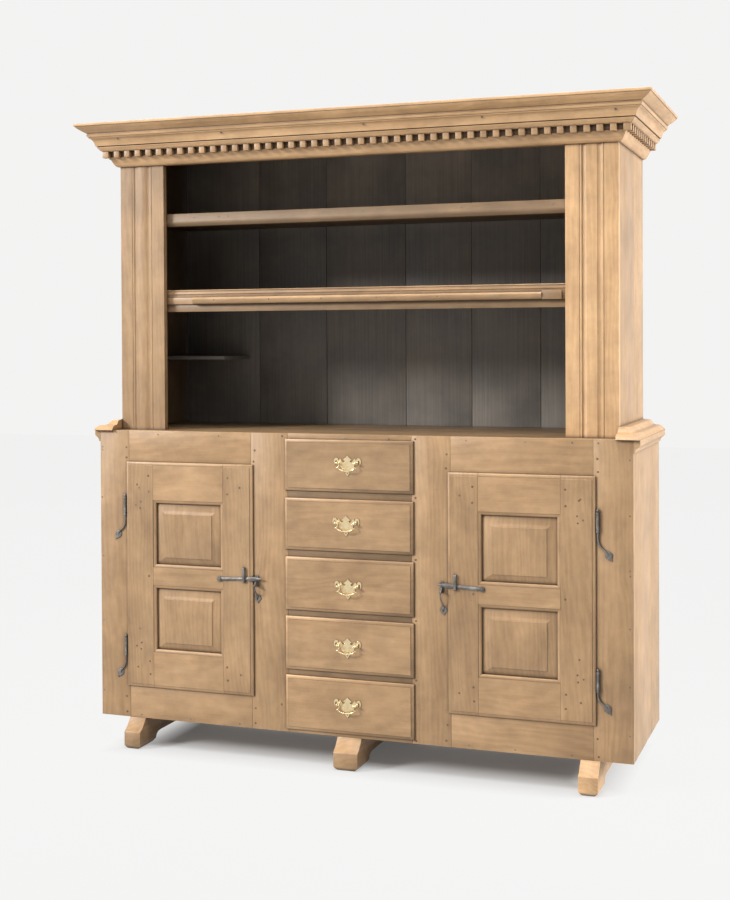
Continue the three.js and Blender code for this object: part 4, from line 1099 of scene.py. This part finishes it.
def makePanel(hand, level, x0, x1, z0, z1):
    face = lipFace() + panel["sunk"]
    step, edge = face + panel["step"], depth(panel["edge"])
    margins = [panel[key] for key in ("side", "side", "bottom", "top")]
    levels = [(y, *(margin + more for margin in margins))
              for y, more in ((face, 0.0006), (face + 0.0004, 0), (step, -0.0002))]
    for i in range(1, panel["slopeSteps"] + 1):
        share = i / panel["slopeSteps"]
        slope = step + (edge - step) * share ** panel["slopeBend"]
        levels.append((slope, *(margin * (1 - share) for margin in margins)))
    levels.append((depth(panel["back"]), *([-panel["tongue"]] * 4)))
    bm = pile()
    stack(bm, ringLoft(frontRings(x0, x1, z0, z1, levels)), "z")
    settle(f"door_{hand}_{level}_field", bm, "waxed_wood", f"door_{hand}", [f"door_{hand}_{level}_panel"],
           corner=18)


# Drawers
drawer = {
    # tones: paler towards the bottom drawer, painted light from the floor; lipPaintedLight: the right lips
    # darker as painted shade, the top lips paler as painted highlight
    "tones": (0.93, 0.95, 0.98, 1.0, 1.06),
    "lipPaintedLight": {"right": 0.62, "top": 1.3},
    "lipReach": 0.0105,
    "side": 0.012, "bottom": 0.008, "inset": 0.007,
    "boxIn": 0.0095, "boxUp": 0.0083, "backDrop": 0.012,
}


def makeDrawer(number):
    node = f"drawer_{number}"
    low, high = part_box(node)
    bm = pile()
    front = ringLoft(frontRings(low.x, high.x, low.z, high.z, lipLevels(1, 1, 1, 1)))
    stack(bm, front, "x", drawer["tones"][number - 1])
    reach, paintedLight = drawer["lipReach"], drawer["lipPaintedLight"]
    # painted shade on the right lip, painted highlight on the top lip
    shadeWhere(bm, lambda spot: spot.x > high.x - reach, paintedLight["right"])
    shadeWhere(bm, lambda spot: spot.z > high.z - reach and spot.y < depth(-0.001), paintedLight["top"])
    settle(f"{node}_front", bm, "waxed_wood", node, [node])

    box = pile()
    side, boxIn = drawer["side"], drawer["boxIn"]
    start = depth(lip["thick"] - lip["proud"]) + 0.0001
    end = high.y - side
    x0, x1 = low.x + boxIn, high.x - boxIn
    bottom, top = low.z + drawer["boxUp"], high.z - boxIn
    floor = bottom + drawer["inset"]
    for a, b in ((x0, x0 + side), (x1 - side, x1)):
        stack(box, board((a, start, bottom), (b, end - 0.0001, top)), "y")
    stack(box, board((x0, end, bottom), (x1, high.y, top - drawer["backDrop"])), "x")
    splitBoards(box, (x0 + side, start, floor), (x1 - side, end - 0.0001, floor + drawer["bottom"]),
                0, 2, "y")
    settle(f"{node}_box", box, "box_wood", node, ())


# Brass pulls
pull = {
    "plate": 0.002, "bevel": 0.0005, "postGap": 0.064, "postUp": 0.0095, "postRadius": 0.0042,
    "bailEnd": 0.0309, "bailOut": 0.0155, "bailDrop": 0.026, "bailRadius": 0.0018,
    # half of the plate in millimetres: crest, inner scroll, wing, bowl, pendant
    "outline": [(0, 34), (1.6, 31.8), (3.6, 29.4), (6.6, 26.4), (10.2, 23.4), (14.3, 20.2),
                (13.6, 18.4), (11.2, 17.8), (9.3, 16.2), (9.6, 14.0), (11.6, 12.4), (14.6, 11.6),
                (17.4, 12.8), (19.6, 15.6), (21.6, 19.4), (23.8, 22.4), (26.6, 22.8), (28.4, 20.4),
                (29.6, 17.2), (30.6, 18.4), (32.0, 21.4), (34.4, 24.4), (38.2, 26.0), (42.4, 24.8),
                (45.4, 21.0), (46.8, 15.6), (46.4, 9.6), (44.8, 4.8), (42.8, 2.6), (42.6, 6.4),
                (42.8, 11.4), (41.6, 15.6), (39.2, 17.6), (36.9, 16.0), (36.8, 12.6), (37.2, 8.6),
                (35.6, 5.2), (32.2, 3.8), (28.6, 5.2), (26.2, 6.8), (25.0, 4.4), (24.4, 0.4),
                (22.8, -4.4), (19.4, -9.4), (14.4, -13.4), (8.4, -16.0), (3.6, -17.2), (2.6, -18.4),
                (3.4, -20.2), (7.3, -21.8), (6.6, -24.6), (3.6, -29.0), (0, -34)],
    "hole": [(0, -27.0), (2.2, -24.2), (0, -21.8)],
    # bolt in metres, and the rest as shares of a radius or a reach
    "bolt": [(0, 0), (0.0032, 0), (0.005, 0.0008), (0.005, 0.003), (0.002, 0.003)],
    "boltRadius": 0.002,
    "post": [(0.75, 0.10), (0.80, 0.14), (0.52, 0.20), (0.44, 0.36), (0.46, 0.54), (0.64, 0.61), (0.86, 0.68),
             (0.98, 0.76), (1.0, 0.83), (0.93, 0.905), (0.74, 0.96), (0.42, 0.99), (0, 1)],
    "bail": [(1, 0), (0.93, 0), (0.86, 0), (0.79, 0.05), (0.77, 0.2), (0.82, 0.36), (0.91, 0.5), (0.91, 0.62),
             (0.80, 0.78), (0.56, 0.9), (0.29, 0.975), (0, 1)],
    "spur": [(0.92, 0.54), (1.03, 0.60), (1.13, 0.66)],
    "spurRadii": [0.0019, 0.0017, 0.0006],
    # the bail is thicker at its middle: from this drop on, over this reach
    "swell": {"from": 0.012, "reach": 0.016, "least": 0.85, "more": 0.3, "arms": 0.9},
}


def makePull(number):
    low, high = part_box(f"pull_plate_{number}")
    centre, middle, level = (low.x + high.x) / 2, (low.z + high.z) / 2, (low.z + high.z) / 2 + pull["postUp"]
    face, front = lipFace(), lipFace() - pull["plate"]
    half, hole = ([(x / 1000, z / 1000) for x, z in pull[key]] for key in ("outline", "hole"))
    bm = pile()
    # two halves that meet on the middle line, so that the pendant can be pierced
    for way in (-1, 1):
        outline = [(centre + way * x, middle + z) for x, z in curved(half, 2) + hole]
        plate = prism(outline, "y", front, face)
        softenRim(plate, pull["bevel"], lambda spot: spot.y < front + 1e-5 and abs(spot.x - centre) > 1e-6)
        stack(bm, plate, "x", 1.0)
    reach, inside, r = face - low.y, high.y - face, pull["postRadius"]
    profile = [(a, b - inside) for a, b in pull["bolt"]] + [(pull["boltRadius"], 0)]
    profile += [(r * a, reach * b) for a, b in pull["post"]]
    for sign in hands.values():
        stack(bm, lathe(profile, (centre + sign * pull["postGap"] / 2, face, level), (0, -1, 0)), "y", 1.0)
    settle(f"pull_{number}_plate", bm, "brass", f"drawer_{number}", [f"pull_plate_{number}"], corner=18)

    axis = face - pull["bailOut"]

    def bent(way, shares):
        return [(centre + way * pull["bailEnd"] * a, axis, level - pull["bailDrop"] * b) for a, b in shares]

    line = smoothLine(bent(-1, pull["bail"]) + bent(1, pull["bail"][-2::-1]), 4)
    swell = pull["swell"]
    radii = []
    for p in line:
        bulge = swell["least"] + swell["more"] * math.exp(-((p.x - centre) / swell["reach"]) ** 2)
        radii.append(pull["bailRadius"] * (bulge if p.z < level - swell["from"] else swell["arms"]))
    bm = pile()
    stack(bm, rod(line, radii), "x", 1.0)
    for sign in hands.values():
        stack(bm, rod(bent(sign, pull["spur"]), pull["spurRadii"], 10), "x", 1.0)
    settle(f"pull_{number}_bail", bm, "brass", f"bail_{number}", [f"bail_{number}"], corner=60)


# Iron hinges and latches
leafShares = [(0, 0.5), (0.16, 0.47), (0.34, 0.34), (0.5, 0.08), (0.44, -0.06), (0.26, -0.2), (0.13, -0.34),
              (0.05, -0.5)]
hinge = {
    "radius": 0.005, "bore": 0.0031, "pin": 0.0026, "out": 0.0055, "collar": 0.012, "tail": 0.0028,
    "gap": 0.0003, "sides": 20,
    "flap": {"from": 0.003, "to": 0.036, "front": 0.0028, "back": 0.0008, "short": 0.006},
    # the collar and the finial: share of the radius, share of the height
    "collarShape": [(1, 0.3), (0.84, 0.42), (0.84, 0.6), (1, 0.75)],
    "finial": [(0.88, 0), (0.92, 0.10), (0.55, 0.18), (0.62, 0.3), (0.88, 0.45), (0.94, 0.6), (0.78, 0.78),
               (0.4, 0.94), (0, 1)],
    # tails: across and down to the leaf
    "tails": {
        ("left", "upper"): (0.030, 0.072), ("left", "lower"): (0.0245, 0.0655),
        ("right", "upper"): (0.035, 0.0745), ("right", "lower"): (0.0305, 0.055),
    },
    "tailShares": [(0, 0), (0, 0.15), (0, 0.29), (0.07, 0.45), (0.24, 0.6), (0.42, 0.69), (0.6, 0.76),
                   (0.8, 0.86), (0.95, 0.97)],
    "leafWide": 0.024, "leafHigh": 0.036, "leafThick": 0.0025, "leafLean": 30, "leafEase": 0.0008,
    "rivet": [(0.0022, 0), (0.0022, 0.0006), (0.0012, 0.0011), (0, 0.0013)],
    "rivets": [(-0.007, 0.002), (0.007, 0.002), (0, -0.009)],
}


def leafShape(x, z, lean):
    half = [(hinge["leafWide"] * a, hinge["leafHigh"] * b) for a, b in leafShares]
    outline = half + [(-u, v) for u, v in reversed(half[1:])]
    c, n = math.cos(math.radians(lean)), math.sin(math.radians(lean))
    outline = [(x + u * c - v * n, z + u * n + v * c) for u, v in curved([*outline, outline[0]], 2)[:-1]]
    front = depth(-hinge["leafThick"])
    return softenRim(prism(outline, "y", front, depth(0)), hinge["leafEase"],
                     lambda spot: spot.y < front + hinge["leafThick"] / 2)


def makeHinges(hand, sign):
    r, collar, tail, sides = (hinge[key] for key in ("radius", "collar", "tail", "sides"))
    bore, pin, flap, y = hinge["bore"], hinge["pin"], hinge["flap"], depth(-hinge["out"])
    for level in ("upper", "lower"):
        strap, pintle = f"hinge_strap_{hand}_{level}", f"hinge_pintle_{hand}_{level}"
        low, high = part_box(strap)
        axis = outerFace(strap, sign) - sign * r
        tall = high.z - low.z
        half = [(bore, 0), (r * 0.94, 0), (r, 0.0008), (r, 0.004), (r * 0.9, 0.005)]
        profile = half + [(a, tall - up) for a, up in reversed(half)] + half[:1]
        bm = pile()
        stack(bm, lathe(profile, (axis, y, low.z), (0, 0, 1), sides), "z", 1.0)
        near, far = sorted((axis - sign * flap["from"], axis - sign * flap["to"]))
        stack(bm, board((near, depth(-flap["front"]), low.z + flap["short"]),
                        (far, depth(-flap["back"]), high.z - flap["short"]), 0.0003), "z", 1.0)
        settle(f"hinge_{hand}_{level}_barrel", bm, "iron", f"door_{hand}", [strap], corner=40)

        seat, top = low.z - hinge["gap"], high.z + hinge["gap"]
        start, tip = seat - collar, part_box(pintle)[1].z - top
        profile = [(0, start), (r * 0.8, start), (r, start + 0.001)]
        profile += [(r * a, start + collar * b) for a, b in hinge["collarShape"]]
        profile += [(r, seat - 0.0006), (r * 0.9, seat), (pin, seat), (pin, top)]
        profile += [(r * a, top + tip * b) for a, b in hinge["finial"]]
        bm = pile()
        stack(bm, lathe(profile, (axis, y, 0), (0, 0, 1), sides), "z", 1.0)
        arm = board((axis - pin, y, start), (axis + pin, depth(0), start + collar * 0.5), 0.0004)
        stack(bm, arm, "z", 1.0)
        swing, drop = hinge["tails"][(hand, level)]
        tailTop = start + tail
        back = hinge["out"] - tail - hinge["gap"]
        line = smoothLine([(axis + sign * swing * a, y + back * b, tailTop - drop * b)
                           for a, b in hinge["tailShares"]], 3)
        stack(bm, rod(line, [tail * (1.0 - 0.35 * i / len(line)) for i in range(len(line))]), "z", 1.0)
        leafX, leafZ = axis + sign * swing, tailTop - drop
        stack(bm, leafShape(leafX, leafZ, sign * hinge["leafLean"]), "z", 1.0)
        for dx, dz in hinge["rivets"]:
            place = (leafX + dx, depth(-hinge["leafThick"]), leafZ + dz)
            stack(bm, lathe(hinge["rivet"], place, (0, -1, 0), 10), "z", 1.0)
        settle(f"hinge_{hand}_{level}_pintle", bm, "iron", "carcass", [pintle], corner=40)


latch = {
    "high": 0.015, "thick": 0.004, "proud": 0.0025, "ridge": 0.0022, "tipRise": 0.007,
    # along the bar from its pin to its tip, and half of its height
    "bar": [(-0.05, 0.30), (0.02, 0.37), (0.1, 0.40), (0.35, 0.38), (0.56, 0.38), (0.62, 0.36), (0.68, 0.43),
            (0.75, 0.5), (0.82, 0.47), (0.88, 0.37), (0.925, 0.24), (0.96, 0.16), (1.0, 0.11)],
    "pin": [(0, -0.012), (0.003, -0.012), (0.003, 0)],
    "boss": 0.008,
    "bossShape": [(1, 0), (1, 0.55), (0.93, 0.68), (0.8, 0.7), (0.68, 0.58), (0.56, 0.62), (0.5, 0.82),
                  (0.34, 0.96), (0, 1)],
    "guide": 0.004,
}


def latchPlace(hand, sign):
    # pin of the bar, its level, and the length from pin to tip
    pin = next(j for j in frame["joints"] if j["name"] == f"latch_{hand}_lift")["pos_m"]
    return pin[0], pin[2], abs(pin[0] - outerFace(f"latch_bar_{hand}", -sign))


def makeLatch(hand, sign):
    face = depth(-lip["proud"] - lip["gap"])
    pivotX, level, length = latchPlace(hand, sign)
    thick = latch["thick"]
    # a flat bar with a ridge along its middle, rising a little to the tip
    rings = []
    for along, half in latch["bar"]:
        x, z, h = pivotX - sign * length * along, level + latch["tipRise"] * along, latch["high"] * half
        flank = face - thick + min(latch["ridge"], h * 0.45)
        rings.append([(x, face, z - h), (x, flank, z - h), (x, face - thick, z - h * 0.06),
                      (x, face - thick, z + h * 0.06), (x, flank, z + h), (x, face, z + h)])
    bm = pile()
    stack(bm, ringLoft(rings), "x", 1.0)
    r, proud = latch["boss"], latch["proud"] + thick
    profile = latch["pin"] + [(r * a, proud * b) for a, b in latch["bossShape"]]
    stack(bm, lathe(profile, (pivotX, face, level), (0, -1, 0)), "x", 1.0)
    settle(f"latch_{hand}_bar", bm, "iron", f"latch_{hand}", [f"latch_bar_{hand}"], corner=20)

    low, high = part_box(f"latch_guide_{hand}")
    t, back = latch["guide"], lipFace()
    outline = [(back, low.z), (back, low.z + t), (low.y + t, low.z + t), (low.y + t, high.z - t),
               (back, high.z - t), (back, high.z)]
    for z, first in ((high.z - t, 90), (low.z + t, 180)):  # the two rounded corners
        for angle in (math.radians(first + 18 * i) for i in range(6)):
            outline.append((low.y + t + t * math.cos(angle), z + t * math.sin(angle)))
    bm = pile()
    stack(bm, soften(prism(outline, "x", low.x, high.x), 0.0009), "z", 1.0)
    settle(f"latch_{hand}_guide", bm, "iron", f"door_{hand}", [f"latch_guide_{hand}"], corner=30)


catch = {
    "wide": 0.010, "beakWide": 0.006, "ledgeDeep": 0.014, "rampDeep": 0.015, "rampDrop": 0.012,
    "lipHigh": 0.002, "under": 0.004, "plate": 0.003, "plateUp": 0.020,
    "leafWide": 0.024, "leafHigh": 0.028, "leafThick": 0.0025, "hole": 0.0045, "tail": 0.0028,
    "tailShares": [(0, 1, 0), (0, 0.95, 0.15), (0.1, 0.75, 0.38), (0.5, 0.32, 0.62), (0.88, 0.04, 0.80),
                   (0.97, 0, 0.90)],
    # in from the door's edge, leaf to the side of the beak, drop of the tail
    "places": {"left": (0.008, -0.002, 0.046), "right": (0.0145, 0.0045, 0.0615)},
}


def makeCatch(hand, sign):
    pivotX, level, length = latchPlace(hand, sign)
    fromEdge, leafAcross, drop = catch["places"][hand]
    near = outerFace(f"door_{hand}_frame", -sign) - sign * fromEdge
    middle = near - sign * catch["wide"] / 2
    ledge = level + latch["tipRise"] * abs(pivotX - near) / length - latch["high"] / 2 - 0.0003
    nose = ledge - catch["rampDrop"]
    foot = nose - catch["lipHigh"] - catch["under"]
    plateTop = ledge + catch["plateUp"]
    deep, front, p = catch["ledgeDeep"], catch["ledgeDeep"] + catch["rampDeep"], catch["plate"]
    # the beak under the bar, on a plate with a round head
    outline = [(depth(0), foot), (depth(0), ledge), (depth(-deep), ledge), (depth(-front), nose),
               (depth(-front), nose - catch["lipHigh"]), (depth(-p), foot)]
    bm = pile()
    half = catch["beakWide"] / 2
    stack(bm, soften(prism(outline, "x", middle - half, middle + half), 0.0008), "z", 1.0)
    half = catch["wide"] / 2
    plate = [(middle - half, foot), (middle + half, foot)]
    plate += [(middle + half * math.cos(a), plateTop - half + half * math.sin(a)) for a in
              (math.pi * i / 10 for i in range(11))]
    stack(bm, soften(prism(plate, "y", depth(-p), depth(0)), 0.0005, 1, 40), "z", 1.0)
    top = nose - catch["lipHigh"] / 2
    rest = -catch["tail"] - 0.0003
    reach = catch["tail"] - front - rest
    line = smoothLine([(middle + sign * leafAcross * a, depth(rest + reach * b), top - drop * c)
                       for a, b, c in catch["tailShares"]], 5)
    stack(bm, rod(line, [catch["tail"] * (0.86 - 0.16 * i / len(line)) for i in range(len(line))]), "z", 1.0)
    addPiercedLeaf(bm, middle + sign * leafAcross, top - drop)
    settle(f"latch_{hand}_catch", bm, "iron", "carcass", [f"latch_catch_{hand}"], corner=30)


def addPiercedLeaf(bm, x, z):
    # the leaf in two halves that meet above and below the diamond hole
    wide, high, hole = catch["leafWide"], catch["leafHigh"], catch["hole"]
    for way in (-1, 1):
        outline = [(x, z + high * 0.5)] + [(x + way * wide * a, z + high * b) for a, b in leafShares[1:]]
        outline += [(x, z - high * 0.5), (x, z - hole), (x + way * hole, z), (x, z + hole)]
        stack(bm, prism(outline, "y", depth(-catch["leafThick"]), depth(0)), "z", 1.0)


framePegs, caseNails = pile(), pile()
makeCase()
makePartitions()
makeFaceFrame(framePegs, caseNails)
makeFeet()
print("lower case made")
makeEndMouldings()
makeHutch()
makeShelves(caseNails)
makeCornice(caseNails)
print("hutch made")
for hand, sign in hands.items():
    pegPile = pile()
    makeDoor(hand, sign, pegPile)
    makeHinges(hand, sign)
    makeLatch(hand, sign)
    makeCatch(hand, sign)
    settle(f"door_{hand}_pegs", pegPile, "peg_wood", f"door_{hand}", ())
print("doors made")
for number in range(1, 6):
    makeDrawer(number)
    makePull(number)
print("drawers made")
settle("frame_pegs", framePegs, "peg_wood", "carcass", ())
settle("case_nails", caseNails, "iron", "carcass")


# Floor, even pale ground and lights
stage = {
    "floor": (0.50, 0.50, 0.495),
    "ground": (0.895, 0.895, 0.89),
    "half": 14.0,
    "world": 0.35,
    # away from the footprint the floor runs out into the even pale ground
    "footprint": (0.70, 0.155),
    "fadeTo": 0.2,
    "glow": 0.085,
    "fade": 0.97,
    "evenBy": 2.5,
    "near": 1.025,
}
lamps = {
    "key": {"place": (-8.5, -7.4, 6.0), "aim": (0.0, 0.0, 1.1), "size": 3.3, "power": 1720},
    "overhead": {"place": (0.2, -1.5, 4.6), "aim": (0.0, -0.3, 1.0), "size": 1.8, "power": 110},
    "right": {"place": (2.6, -2.6, 3.4), "aim": (0.9, -0.2, 1.8), "size": 1.2, "power": 16},
    "side": {"place": (4.6, 1.0, 1.7), "aim": (0.9, 0.1, 1.0), "size": 1.8, "power": 262},
    "rear": {"place": (-3.0, 6.5, 3.6), "aim": (0.0, 0.3, 1.1), "size": 2.4, "power": 210},
}


def addFloor():
    half = stage["half"]
    bm = bmesh.new()
    bm.faces.new([bm.verts.new((x * half, y * half, 0)) for x, y in ((-1, -1), (1, -1), (1, 1), (-1, 1))])
    mesh = bpy.data.meshes.new("floor")
    bm.to_mesh(mesh)
    bm.free()
    floor = bpy.data.objects.new("floor", mesh)
    desk = NodeDesk(bpy.data.materials.new("paleFloor"))
    place = desk.coordinates("Object")
    desk.finish(desk.tinted(stage["floor"], desk.noise(place, 2.0), 0.3, 0.7, 0.985, 1.01), 0.75)
    parts = desk.parted(place)
    apart = desk.math("MAXIMUM", *(desk.math("SUBTRACT", desk.math("ABSOLUTE", parts[key]), reach)
                                   for key, reach in zip("XY", stage["footprint"])))
    fade = desk.remap(apart, 0.0, stage["fadeTo"], stage["glow"], stage["fade"])
    strength = desk.remap(apart, stage["fadeTo"], stage["evenBy"], stage["near"], 1.0)
    glow = desk.node("Emission", {"Color": stage["ground"], "Strength": strength})
    desk.giveWay(desk.math("MULTIPLY", fade, desk.seen()), glow, "Material Output")
    mesh.materials.append(desk.holder)
    bpy.context.scene.collection.objects.link(floor)


def addWorld():
    # plain light for the piece; the camera and the metal see the pale ground
    world = bpy.data.worlds.new("studio")
    desk = NodeDesk(world)
    desk.put(desk.shader.inputs["Color"], (1, 1, 1))
    desk.put(desk.shader.inputs["Strength"], stage["world"])
    desk.giveWay(desk.seen(), desk.node("Background", {"Color": stage["ground"]}), "World Output")
    bpy.context.scene.world = world


def addLights():
    for name, lamp in lamps.items():
        light = bpy.data.lights.new(name, "AREA")
        light.shape = "DISK"
        light.size = lamp["size"]
        light.energy = lamp["power"]
        holder = bpy.data.objects.new(name, light)
        holder.location = lamp["place"]
        ray = Vector(lamp["aim"]) - Vector(lamp["place"])
        holder.rotation_euler = ray.to_track_quat("-Z", "Y").to_euler()
        bpy.context.scene.collection.objects.link(holder)


addFloor()
addWorld()
addLights()
bpy.context.scene.view_settings.view_transform = "Standard"
print("stage and lights set")

bpy.context.view_layer.update()
